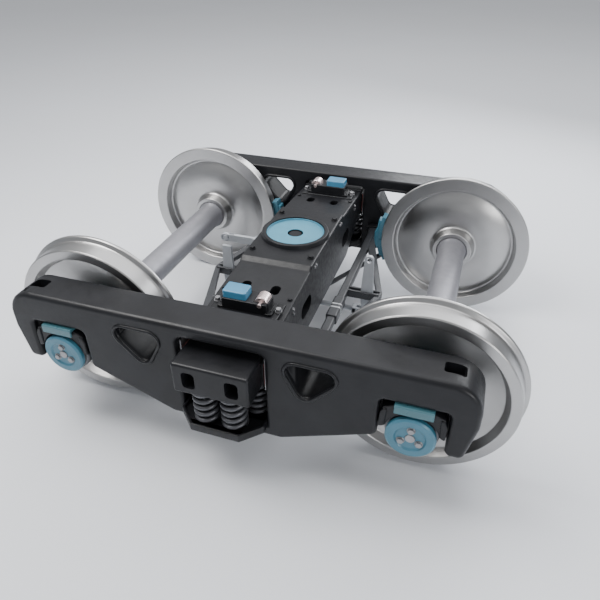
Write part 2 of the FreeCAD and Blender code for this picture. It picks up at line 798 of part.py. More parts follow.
def add_bolster(label):
    """Cast bolster: a hollow beam, deep in the middle, that carries the centre bowl."""
    body = new_body(label)
    end = bolster_length / 2
    step = frame_line - S.frame_width / 2 - 36
    shoulder = bolster_end_top + S.bolster_shoulder
    platform = S.platform_length / 2
    deck = S.platform_height - 22
    half = S.bolster_width / 2
    belly = S.platform_length / 2 + 190
    over_seat = frame_line - S.seat_depth / 2 - 6
    outline = ([(-step, shoulder), (-platform - 60, deck), (-platform - 30, S.platform_height),
                (platform + 30, S.platform_height), (platform + 60, deck), (step, shoulder)]
               + [(step, bolster_end_bottom), (over_seat, bolster_end_bottom),
                  (belly, S.bolster_belly), (-belly, S.bolster_belly),
                  (-over_seat, bolster_end_bottom), (-step, bolster_end_bottom)])
    extrude(body, label + "_box", "YZ_Plane", -half, half, [outline])
    end_half = S.bolster_end_width / 2
    extrude(body, label + "_ends", "YZ_Plane", -end_half, end_half,
            [rectangle(-end, bolster_end_bottom, end, bolster_end_top)])

    # seats for the side bearings
    seats = []
    for sign in (-1, 1):
        spot = sign * S.bearing_spacing / 2
        seats.append(rectangle(spot - 76, S.bolster_belly + 200, spot + 76, side_pad_height))
    extrude(body, label + "_side_pads", "YZ_Plane", -half + 30, half - 30, seats)

    # hollow inside, open through the cored holes
    wall = S.wall
    cavity = [(-step + 120, shoulder - wall - 8), (-platform - 60, deck - wall),
              (platform + 60, deck - wall), (step - 120, shoulder - wall - 8),
              (step - 120, bolster_end_bottom + wall - 10), (belly, S.bolster_belly + wall),
              (-belly, S.bolster_belly + wall), (-step + 120, bolster_end_bottom + wall - 10)]
    extrude(body, label + "_core", "YZ_Plane", -half + wall, half - wall, [cavity], cut=True)
    windows = []
    for sign in (-1, 1):
        spot = sign * (platform + 130)
        windows.append(rectangle(spot - 90, S.bolster_belly + 130, spot + 90,
                                 S.bolster_belly + 230, 48))
    extrude(body, label + "_side_windows", "YZ_Plane", -half - 1, half + 1, windows, cut=True)
    cored = []
    for sign in (-1, 1):
        spot = sign * (step - 22)
        for x0, x1 in ((-114, -22), (22, 114)):
            cored.append(rectangle(x0, spot - 16, x1, spot + 16, 8))
    extrude(body, label + "_top_holes", "XY_Plane", bolster_end_bottom + wall,
            S.platform_height + 60, cored, cut=True)
    slots = []
    for x in (-110, 110):
        slots.append(rectangle(length(x) - 34, bolster_end_bottom + 40, length(x) + 34,
                               bolster_end_top - 40, 20))
    extrude(body, label + "_end_slots", "XZ_Plane", -end - 1, -step + 60, slots, cut=True)
    extrude(body, label + "_end_slots_far", "XZ_Plane", step - 60, end + 1, slots, cut=True)

    # pockets for the friction wedges
    reach = S.wedge_width / 2 + 1
    for name, side in SIDES:
        middle = side * frame_line
        extrude(body, f"{label}_pockets_{name}", "XZ_Plane", middle - reach, middle + reach,
                [pocket_outline(1), pocket_outline(-1)], cut=True)

    # centre bowl
    bowl = S.bowl_diameter / 2
    floor = S.platform_height
    extrude(body, label + "_bowl", "XY_Plane", floor - 4, floor + S.bowl_depth,
            circles=[(0, 0, bowl + S.bowl_rim)])
    extrude(body, label + "_bowl_floor", "XY_Plane", floor, floor + S.bowl_depth + 1,
            circles=[(0, 0, bowl)], cut=True)
    extrude(body, label + "_king_pin", "XY_Plane", S.bolster_belly - 1, floor + 1,
            circles=[(0, 0, S.king_pin_bore / 2)], cut=True)


def add_centre_liner(label):
    """Wear liner in the centre bowl, a dish with an upturned edge."""
    body = new_body(label)
    radius = S.bowl_diameter / 2 - S.piece_gap
    floor = S.platform_height + S.piece_gap
    corners = [
        (S.king_pin_bore / 2 + 10, floor), (radius, floor), (radius, floor + S.liner_rim),
        (radius - S.liner_thickness, floor + S.liner_rim),
        (radius - S.liner_thickness, floor + S.liner_thickness),
        (S.king_pin_bore / 2 + 10, floor + S.liner_thickness),
    ]
    turn(body, label + "_turned", corners, plane="XZ_Plane", axis="V_Axis")


def add_wedge(label, side, sign):
    body = new_body(label)
    reach = S.wedge_width / 2
    middle = side * frame_line
    extrude(body, label + "_block", "XZ_Plane", middle - reach, middle + reach,
            [wedge_outline(sign)])


def add_wedge_faces(label):
    """Friction linings on the four wedges."""
    plates = []
    face = float(column_face - S.piece_gap)
    for side_name, side in SIDES:
        for sign in (-1, 1):
            thick = float(S.wedge_face)
            x = face - thick if sign > 0 else -face
            y = side * float(frame_line) - float(S.wedge_width) / 2 + 6
            plates.append(Part.makeBox(thick, float(S.wedge_width) - 12,
                                       float(S.wedge_height) - 10,
                                       Vector(x, y, float(bolster_end_bottom) + 5)))
    new_feature(label, Part.Compound(plates))


def add_side_bearing(name, side):
    """Housing with a sprung cap at one end and a roller at the other."""
    base = side_pad_height
    top = base + S.side_bearing_height
    spot = side * S.bearing_spacing / 2
    half_y = S.side_bearing_width / 2
    roller_x = -side * (S.side_bearing_length / 2 - 62)
    cap_x = side * (S.side_bearing_length / 2 - 96)
    body = new_body(f"side_bearing_housing_{name}")
    label = body.Label
    half_x = S.side_bearing_length / 2
    extrude(body, label + "_base", "XZ_Plane", spot - half_y, spot + half_y,
            [[(-half_x, base), (half_x, base), (half_x, base + 18), (half_x - 26, top),
              (-half_x + 26, top), (-half_x, base + 18)]])
    cap_half = S.side_cap_length / 2
    extrude(body, label + "_cap_well", "XY_Plane", base + 12, top + 1,
            [rectangle(cap_x - cap_half - S.piece_gap, spot - half_y + 12,
                       cap_x + cap_half + S.piece_gap, spot + half_y - 12)], cut=True)
    trough = S.roller_diameter / 2 + 3
    extrude(body, label + "_roller_well", "XY_Plane", base + 12, top + 1,
            [rectangle(roller_x - trough, spot - S.roller_length / 2 - 1,
                       roller_x + trough, spot + S.roller_length / 2 + 1)], cut=True)
    extrude(body, label + "_roller_bore", "XZ_Plane", spot - half_y - 1, spot + half_y + 1,
            circles=[(roller_x, base + 52, 12)], cut=True)

    cap = new_body(f"side_bearing_cap_{name}")
    extrude(cap, cap.Label + "_block", "XY_Plane", base + 12 + S.side_cap_travel + 1,
            top + S.side_cap_rise,
            [rectangle(cap_x - cap_half, spot - half_y + 12 + S.piece_gap,
                       cap_x + cap_half, spot + half_y - 12 - S.piece_gap, 10)])

    roller = new_body(f"side_bearing_roller_{name}")
    r_roll = S.roller_diameter / 2
    r_pin = length(12) - S.running_clearance
    half_l = S.roller_length / 2
    turn(roller, roller.Label + "_turned",
         [(-half_y - 3, 0), (-half_y - 3, r_pin), (-half_l, r_pin), (-half_l, r_roll - 3),
          (-half_l + 3, r_roll), (half_l - 3, r_roll), (half_l, r_roll - 3), (half_l, r_pin),
          (half_y + 3, r_pin), (half_y + 3, 0)])
    place(roller, roller_x, spot, base + 52)


def add_side_bearing_bolts(label):
    heads = []
    for name, side in SIDES:
        spot = side * float(S.bearing_spacing) / 2
        for sign in (-1, 1):
            x = sign * (float(S.side_bearing_length) / 2 + 19)
            base = float(side_pad_height)
            points = [Vector(cx, cy, base) for cx, cy in hexagon(x, spot, 30.0)]
            face = Part.Face(Part.makePolygon(points + points[:1]))
            heads.append(face.extrude(Vector(0, 0, 20)))
    new_feature(label, Part.Compound(heads))


# Brake rigging

def add_brake_beam(label, sign):
    """Bar with end lugs, a V-shaped tie and a strut that carries the lever."""
    body = new_body(label)
    z = S.beam_height
    spot = sign * S.beam_offset
    half = S.beam_bar / 2
    reach = frame_line - S.frame_width / 2 - 52
    x0, x1 = spot - half, spot + half
    extrude(body, label + "_bar", "XY_Plane", z - half, z + half,
            [rectangle(x0, -reach, x1, reach)])
    lug_end = frame_line - S.frame_width / 2 - 5
    extrude(body, label + "_lugs", "XY_Plane", z - S.guide_height / 2 + S.piece_gap,
            z + S.guide_height / 2 - 1,
            [rectangle(spot - 38, -lug_end, spot + 38, 70 - lug_end),
             rectangle(spot - 38, lug_end - 70, spot + 38, lug_end)])
    apex = S.beam_truss
    tie_end = S.wheel_gauge / 2 - 70
    tie = 34
    outline = [(spot, -tie_end), (spot + sign * tie, -tie_end),
               (spot + sign * apex, -16), (spot + sign * apex, 16),
               (spot + sign * tie, tie_end), (spot, tie_end),
               (spot + sign * (apex - tie), 10), (spot + sign * (apex - tie), -10)]
    extrude(body, label + "_tie", "XY_Plane", z - 17, z + 17, [outline])
    strut = [(spot, -26), (spot + sign * (apex - 14), -26), (spot + sign * (apex - 14), 26),
             (spot, 26)]
    extrude(body, label + "_strut", "XY_Plane", z - 26, z + 26, [strut])
    fulcrum = sign * S.lever_offset
    slot_half = S.lever_thickness / 2 + 1
    extrude(body, label + "_lever_slot", "XY_Plane", z - 60, z + 60,
            [rectangle(fulcrum - 52, -slot_half, fulcrum + 52, slot_half)], cut=True)
    extrude(body, label + "_fulcrum", "XZ_Plane", -24, 24,
            circles=[(fulcrum, z, S.lever_pin / 2)])


def shoe_section(inner, outer, low_angle, high_angle, sign):
    """A band of the tread's curve, seen along the axle."""
    centre = Vector(sign * float(S.wheel_base) / 2, 0, float(axle_height))

    def spot(radius, angle):
        turned = math.radians(angle)
        return centre + Vector(-sign * math.cos(turned), 0, math.sin(turned)) * radius

    middle = (low_angle + high_angle) / 2
    edges = [
        Part.Arc(spot(inner, low_angle), spot(inner, middle), spot(inner, high_angle)).toShape(),
        Part.makeLine(spot(inner, high_angle), spot(outer, high_angle)),
        Part.Arc(spot(outer, high_angle), spot(outer, middle), spot(outer, low_angle)).toShape(),
        Part.makeLine(spot(outer, low_angle), spot(inner, low_angle)),
    ]
    return Part.Face(Part.Wire(edges))


def shoe_angles():
    radius = float(wheel_radius + S.shoe_gap)
    middle = math.degrees(math.asin((float(S.beam_height) - float(axle_height)) / radius))
    spread = math.degrees(float(S.shoe_length) / 2 / radius)
    return middle, spread


def tread_radius(y):
    """Radius of the coned tread at a distance from the middle of the track."""
    start = float(rim_inner + S.flange_width)
    end = float(rim_outer - 6)
    return float(wheel_radius) + 3 - 6 * (y - start) / (end - start)


def add_brake_shoes(label, sign):
    """Shoes whose faces follow the cone of the tread."""
    middle, spread = shoe_angles()
    gap = float(S.shoe_gap)
    back = float(wheel_radius + S.shoe_gap + S.shoe_thickness)
    width = float(S.shoe_width)
    centre = Vector(sign * float(S.wheel_base) / 2, 0, float(axle_height))
    first = math.radians(middle - spread)
    shoes = []
    for name, side in SIDES:
        low = float(S.wheel_gauge) / 2 + 8 - width / 2
        high = low + width
        section = [(low, tread_radius(low) + gap), (low, back), (high, back),
                   (high, tread_radius(high) + gap)]
        corners = [centre + Vector(-sign * math.cos(first) * radius, side * y,
                                   math.sin(first) * radius) for y, radius in section]
        face = Part.Face(Part.makePolygon(corners + corners[:1]))
        shoes.append(face.revolve(centre, Vector(0, sign, 0), 2 * spread))
    new_feature(label, Part.Compound(shoes))


def add_brake_heads(label, sign):
    """Heads between the beam bar and the shoes."""
    middle, spread = shoe_angles()
    inner = float(wheel_radius + S.shoe_gap + S.shoe_thickness)
    width = float(S.shoe_width) - 16
    z = float(S.beam_height)
    bar_face = float(S.beam_offset + S.beam_bar / 2)
    heads = []
    for name, side in SIDES:
        y = side * (float(S.wheel_gauge) / 2 + 8) - width / 2
        band = shoe_section(inner, inner + 18, middle - spread * 0.8, middle + spread * 0.8, sign)
        back = band.extrude(Vector(0, width, 0))
        tread = float(S.wheel_base) / 2 - inner - 9
        points = [(bar_face, z - 26), (bar_face, z + 26), (tread, z + 60), (tread, z - 60)]
        corners = [Vector(sign * px, 0, pz) for px, pz in points]
        web = Part.Face(Part.makePolygon(corners + corners[:1])).extrude(Vector(0, width, 0))
        head = back.fuse(web).removeSplitter()
        head.translate(Vector(0, y, 0))
        heads.append(head)
    new_feature(label, Part.Compound(heads))


def add_lever(label, sign):
    """Upright brake lever. The dead lever's top is thinned and carries the link's pin."""
    body = new_body(label)
    x = sign * S.lever_offset
    half = S.lever_thickness / 2
    pin = S.lever_pin / 2
    outline = [
        (x - 26, lever_bottom - 30, 22), (x + 26, lever_bottom - 30, 22),
        (x + 40, S.beam_height), (x + 26, lever_top + 30, 22), (x - 26, lever_top + 30, 22),
        (x - 40, S.beam_height),
    ]
    extrude(body, label + "_plate", "XZ_Plane", -half, half, [outline])
    holes = [(x, S.beam_height, pin + S.running_clearance)]
    if sign > 0:
        holes.append((x, lever_top, pin + S.running_clearance))
    extrude(body, label + "_holes", "XZ_Plane", -half - 1, half + 1, circles=holes, cut=True)
    play = S.running_clearance if sign > 0 else S.pin_play
    extrude(body, label + "_rod_hole", "XZ_Plane", -half - 1, half + 1, cut=True,
            circles=[(x, lever_bottom, pin + play)])
    if sign < 0:
        for number, (low, high) in enumerate(((-half - 1, -half / 2), (half / 2, half + 1))):
            extrude(body, f"{label}_thinned_{number}", "XZ_Plane", low, high, cut=True,
                    outlines=[rectangle(x - 60, lever_top - 62, x + 60, lever_top + 62)])
        extrude(body, label + "_link_pin", "XZ_Plane", -half - 4, half + 4,
                circles=[(x, lever_top, pin)])


def add_connecting_rod(label):
    """Rod under the bolster with a fork at each end."""
    body = new_body(label)
    x = S.lever_offset
    z = lever_bottom
    half = S.lever_thickness / 2
    extrude(body, label + "_bar", "YZ_Plane", -x + 70, x - 70,
            circles=[(0, z, S.rod_diameter / 2)])
    fork = half + 16
    for sign in (-1, 1):
        x0, x1 = (x - 90, x + 26) if sign > 0 else (-x - 26, -x + 90)
        extrude(body, f"{label}_fork_{'a' if sign > 0 else 'b'}", "XZ_Plane", -fork, fork,
                [rectangle(x0, z - 24, x1, z + 24, 16)])
    slots = [rectangle(x - 56, -half - 1, x + 30, half + 1),
             rectangle(-x - 30, -half - 1, -x + 56, half + 1)]
    extrude(body, label + "_slots", "XY_Plane", z - 30, z + 30, slots, cut=True)
    extrude(body, label + "_pin_holes", "XZ_Plane", -fork - 1, fork + 1, cut=True,
            circles=[(x, z, S.lever_pin / 2), (-x, z, S.lever_pin / 2)])


def add_rod_pins(label):
    pins = []
    for sign in (-1, 1):
        half = float(S.lever_thickness) / 2 + 20
        pins.append(Part.makeCylinder(float(S.lever_pin) / 2, 2 * half,
                                      Vector(sign * float(S.lever_offset), -half,
                                             float(lever_bottom)), Vector(0, 1, 0)))
    new_feature(label, Part.Compound(pins))


def anchor_place():
    """Pin of the anchor bracket, beside the bolster's rear web."""
    return -(S.bolster_width / 2 + S.anchor_reach)


def add_anchor(label):
    """Bracket on the bolster's rear web with the pin that holds the anchor link."""
    body = new_body(label)
    half = S.lever_thickness / 2
    x = anchor_place()
    web = -(S.bolster_width / 2)
    z = lever_top
    for number, (low, high) in enumerate(((-half - 14, -half - 1), (half + 1, half + 14))):
        extrude(body, f"{label}_cheek_{number}", "XZ_Plane", low, high,
                [[(x - 26, z - 26, 16), (web, z - 44), (web, z + 44), (x - 26, z + 26, 16)]])
    extrude(body, label + "_foot", "XZ_Plane", -70, 70,
            [rectangle(web - 14, z - 52, web, z + 52)])
    extrude(body, label + "_pin", "XZ_Plane", -half - 18, half + 18,
            circles=[(x, z, S.lever_pin / 2)])


def add_anchor_link(label):
    """Link from the anchor to the dead lever, slotted so that the bolster can ride."""
    body = new_body(label)
    near = anchor_place()
    far = -S.lever_offset
    z = lever_top
    half = S.lever_thickness / 2
    pin = S.lever_pin / 2
    outline = [(near + 28, z - 26, 20), (near + 28, z + 26, 20), (far - 36, z + 26, 20),
               (far - 36, z - 26, 20)]
    extrude(body, label + "_bar", "XZ_Plane", -half, half, [outline])
    extrude(body, label + "_fork", "XY_Plane", z - 30, z + 30, cut=True,
            outlines=[rectangle(far - 40, -half / 2 - 0.5, far + 56, half / 2 + 0.5)])
    extrude(body, label + "_eye", "XZ_Plane", -half - 1, half + 1, cut=True,
            circles=[(near, z, pin + S.running_clearance)])
    extrude(body, label + "_slot", "XZ_Plane", -half - 1, half + 1, cut=True,
            outlines=[rectangle(far - pin - 7, z - pin - 1, far + pin + 4, z + pin + 1)])


# Cross brace

def brace_end(sx, sy):
    """Middle of a ball end, against the inner face of a side frame's foot."""
    foot = float(frame_line - S.frame_width / 2 + 12)
    return Vector(sx * float(S.brace_reach), sy * (foot - 0.62 * float(S.brace_ball) / 2),
                  float(brace_height))


def add_brace_rod(label, sign):
    """Diagonal rod between opposite corners, bent a little to pass the other one."""
    radius = float(S.brace_diameter) / 2
    middle = Vector(0, 0, float(brace_height) + sign * (radius + 4))
    rod = Part.makeSphere(radius + 3, middle)
    for end in (brace_end(-1, -sign), brace_end(1, sign)):
        run = end - middle
        length = run.Length - float(S.brace_ball) / 2 + 4
        rod = rod.fuse(Part.makeCylinder(radius, length, middle, run))
        rod = rod.cut(Part.makeSphere(float(S.brace_ball) / 2, end))
    new_feature(label, rod)


def add_brace_ends(label):
    """Ball ends that hold the cross brace against the frames' feet."""
    ends = []
    for sx in (-1, 1):
        for side_name, sy in SIDES:
            end = brace_end(sx, sy)
            ball = Part.makeSphere(float(S.brace_ball) / 2, end)
            foot = sy * float(frame_line - S.frame_width / 2 + 12)
            block = Part.makeBox(200, 200, 200, Vector(
                end.x - 100, foot if sy > 0 else foot - 200, end.z - 100))
            ends.append(ball.cut(block))
    new_feature(label, Part.Compound(ends))


# The whole bogie

for end_name, end_sign in ENDS:
    axle_x = end_sign * (S.wheel_base / 2)
    add_axle(f"axle_{end_name}", axle_x)
    add_inner_rings(f"bearing_inner_{end_name}", axle_x)
    add_cap_screws(f"end_cap_screws_{end_name}", axle_x)
    for side_name, side_sign in SIDES:
        tag = f"{end_name}_{side_name}"
        add_wheel(f"wheel_{tag}", axle_x, side_sign)
        add_bearing(f"bearing_cup_{tag}", axle_x, side_sign)
        add_end_cap(f"end_cap_{tag}", axle_x, side_sign)
        add_adapter(f"adapter_{tag}", axle_x, side_sign)
        add_pad(f"adapter_pad_{tag}", axle_x, side_sign)
        add_wedge(f"friction_wedge_{tag}", side_sign, end_sign)

for side_name, side_sign in SIDES:
    add_side_frame(f"side_frame_{side_name}", side_sign)
    add_springs(f"springs_{side_name}", side_sign)
    add_side_bearing(side_name, side_sign)

add_wear_plates("column_wear_plates")
add_bolster("bolster")
add_centre_liner("centre_liner")
add_wedge_faces("wedge_linings")
add_side_bearing_bolts("side_bearing_bolts")

for rig_name, rig_sign in (("live", 1), ("dead", -1)):
    add_brake_beam(f"brake_beam_{rig_name}", rig_sign)
    add_brake_heads(f"brake_heads_{rig_name}", rig_sign)
    add_brake_shoes(f"brake_shoes_{rig_name}", rig_sign)
    add_lever(f"brake_lever_{rig_name}", rig_sign)
add_connecting_rod("connecting_rod")
add_rod_pins("rod_pins")
add_anchor("dead_lever_anchor")
add_anchor_link("anchor_link")
add_brace_rod("cross_brace_upper", 1)
add_brace_rod("cross_brace_lower", -1)
add_brace_ends("cross_brace_ends")

doc.recompute()

# Nothing is written unless every feature is sound
for item in doc.Objects:
    if {"Invalid", "Error"} & set(item.State):
        raise RuntimeError(f"{item.Label} failed: {item.State}")
for body in parts:
    before = 0
    for feature in getattr(body, "Group", []):
        if feature.TypeId in ("PartDesign::Pocket", "PartDesign::Groove"):
            if feature.Shape.Volume > before - 1:
                raise RuntimeError(f"{feature.Label} cuts nothing")
        if hasattr(feature, "Shape") and feature.Shape.Solids:
            before = feature.Shape.Volume
    if body.Shape.isNull() or not body.Shape.isValid() or not body.Shape.Solids:
        raise RuntimeError(f"{body.Label} has no sound solid")

os.makedirs("parts", exist_ok=True)
for body in parts:
    body.Shape.exportStep(f"parts/{body.Label}.step")
print(len(parts), "sub-parts written")
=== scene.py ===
"""Looks of the freight wagon bogie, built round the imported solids.

Everything is in metres. X runs along the rails, Y across them and Z up; the origin is on
the floor under the middle, level with the flange tips. Pieces that stand for a solid take
their place from its box.
"""
import math

import bmesh
import bpy
from mathutils import Matrix, Vector
from mathutils.geometry import tessellate_polygon


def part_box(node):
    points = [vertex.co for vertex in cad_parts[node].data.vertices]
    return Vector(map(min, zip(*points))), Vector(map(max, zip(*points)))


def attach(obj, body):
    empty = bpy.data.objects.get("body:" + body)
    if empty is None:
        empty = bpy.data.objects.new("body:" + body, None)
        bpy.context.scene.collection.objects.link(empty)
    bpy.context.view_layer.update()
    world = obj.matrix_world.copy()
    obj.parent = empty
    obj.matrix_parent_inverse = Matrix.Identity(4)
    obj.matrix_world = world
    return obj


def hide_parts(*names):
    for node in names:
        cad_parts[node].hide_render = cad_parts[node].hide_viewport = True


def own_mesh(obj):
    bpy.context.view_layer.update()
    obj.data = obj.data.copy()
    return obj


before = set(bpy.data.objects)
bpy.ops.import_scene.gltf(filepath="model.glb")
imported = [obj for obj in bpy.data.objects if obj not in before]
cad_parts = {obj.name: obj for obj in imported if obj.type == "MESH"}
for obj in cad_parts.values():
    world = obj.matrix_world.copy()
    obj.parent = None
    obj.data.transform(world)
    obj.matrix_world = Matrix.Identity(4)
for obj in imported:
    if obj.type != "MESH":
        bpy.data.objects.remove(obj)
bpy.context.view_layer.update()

ENDS = (("front", 1), ("rear", -1))
SIDES = (("near", -1), ("far", 1))
RIGS = (("live", 1), ("dead", -1))
TURN = 2 * math.pi


def middle(node):
    """Middle of a solid's box."""
    low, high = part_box(node)
    return (Vector(low) + Vector(high)) / 2


def reach(node, axis):
    """Half of a solid's size along an axis."""
    low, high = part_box(node)
    return (high[axis] - low[axis]) / 2


# Places read from the solids
AXLE_X = middle("axle_front").x
AXLE_Z = middle("axle_front").z
FLANGE_R = reach("wheel_front_far", 2)
HUB_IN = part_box("wheel_front_far")[0][1]
RIM_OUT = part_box("wheel_front_far")[1][1]
FRAME_Y = middle("bearing_cup_front_far").y
BEARING_R = reach("bearing_cup_front_far", 2)
BEARING_HALF = reach("bearing_cup_front_far", 1)
FRAME_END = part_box("side_frame_far")[1][0]
FRAME_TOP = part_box("side_frame_far")[1][2]
SEAT_HALF = FRAME_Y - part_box("side_frame_far")[0][1]
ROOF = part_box("adapter_pad_front_far")[1][2]
SPRING_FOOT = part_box("springs_far")[0][2]
SPRING_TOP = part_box("springs_far")[1][2]
BOLSTER_X = reach("bolster", 0)
BOLSTER_Y = reach("bolster", 1)
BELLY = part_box("bolster")[0][2]
BOWL_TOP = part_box("bolster")[1][2]
LINER_R = reach("centre_liner", 0)
LINER_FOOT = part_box("centre_liner")[0][2]
BEAM_Z = middle("brake_beam_live").z
LEVER_X = middle("brake_lever_live").x
LEVER_Y = reach("brake_lever_live", 1)
ROD_Z = middle("connecting_rod").z

# Clearances and pins
GAP = 0.0003
PIN_R = 0.017
PIN_BORE = PIN_R + 0.00005

# Further sizes of the wheels and axles
FLANGE_WIDTH = 0.032
TREAD_R = FLANGE_R - 0.028
TREAD_FALL = 0.003
TREAD_EDGE = 0.006
RIM_IN = RIM_OUT - 0.130
RIM_BORE = TREAD_R - 0.064
HUB_R = 0.136
HUB_OUT = RIM_OUT - 0.003
AXLE_R = 0.091
AXLE_SEAT_R = 0.100
JOURNAL_R = 0.070
BACK_RING_R = 0.086
CUP_BORE = 0.0981
SEAL_DROP = 0.013

# Further sizes of the side frames
FRAME_HALF = 0.102
FRAME_FOOT = 0.2695
JAW_HALF = 0.155
LEG_TIP = ROOF - 0.256
LEG_WIDTH = 0.084
SEAT_TOP = SPRING_FOOT - GAP
SEAT_RIM = 0.018
SEAT_CUT = 0.096
OPENING_HALF = 0.225
OPENING_TOP = FRAME_TOP - 0.074
WINDOW_WIDTH = 0.322
WINDOW_HEIGHT = 0.214
WINDOW_CORNER = 0.044
COLUMN_FACE = 0.215
SPRING_R = 0.069
SMALL_SPRING_R = 0.0405

# Further sizes of the bolster
BOLSTER_END_TOP = OPENING_TOP - 0.050
BOLSTER_FOOT = SPRING_TOP + GAP
BOLSTER_END_X = 0.196
PLATFORM = BOWL_TOP - 0.026
LINING = 0.008
LINING_FACE = COLUMN_FACE - GAP
LINING_HEIGHT = 0.150
SIDE_SPOT = 0.762
SIDE_SEAT = 0.786

# Further sizes of the brake rigging and cross brace
BEAM_X = 0.332
BEAM_HALF = 0.026
SHOE_GAP = 0.012
SHOE_BACK = TREAD_R + SHOE_GAP + 0.044
SHOE_Y = 0.798
SHOE_HALF = 0.042
BRACE_X = 0.430
BRACE_Z = 0.280
BRACE_R = 0.017
BALL_R = 0.034


# Outlines

def rounded(corners, steps=6):
    """Outline from corners (a, b, radius), with an arc at each corner that has a radius."""
    points = []
    for i, corner in enumerate(corners):
        here = Vector(corner[:2])
        radius = corner[2] if len(corner) > 2 else 0
        if not radius:
            points.append(here)
            continue
        before = (Vector(corners[i - 1][:2]) - here).normalized()
        after = (Vector(corners[(i + 1) % len(corners)][:2]) - here).normalized()
        half = before.angle(after) / 2
        centre = here + (before + after).normalized() * radius / math.sin(half)
        start = here + before * radius / math.tan(half) - centre
        end = here + after * radius / math.tan(half) - centre
        first = math.atan2(start.y, start.x)
        sweep = (math.atan2(end.y, end.x) - first + math.pi) % TURN - math.pi
        for step in range(steps + 1):
            angle = first + sweep * step / steps
            points.append(centre + radius * Vector((math.cos(angle), math.sin(angle))))
    return points


def box_outline(a0, b0, a1, b1, radius=0.0):
    a0, a1 = sorted((a0, a1))
    b0, b1 = sorted((b0, b1))
    return rounded([(a0, b0, radius), (a1, b0, radius), (a1, b1, radius), (a0, b1, radius)])


def circle(a, b, radius, steps=32):
    return [Vector((a + radius * math.cos(TURN * i / steps),
                    b + radius * math.sin(TURN * i / steps))) for i in range(steps)]


def flipped(corners):
    """The same corners on the other side of the vertical axis."""
    return [(-c[0], *c[1:]) for c in reversed(corners)]


def signed_area(points):
    """Area of an outline, negative where it runs clockwise."""
    return sum(p.x * q.y - q.x * p.y for p, q in zip(points, points[1:] + points[:1])) / 2


def inset(points, distance):
    """The outline moved to its left by a distance."""
    moved = []
    for i, here in enumerate(points):
        edges = [here - points[i - 1], points[(i + 1) % len(points)] - here]
        normals = [Vector((-e.y, e.x)).normalized() for e in edges]
        total = normals[0] + normals[1]
        moved.append(here + total * distance / max(0.3, 1 + normals[0].dot(normals[1])))
    return moved


# Solids

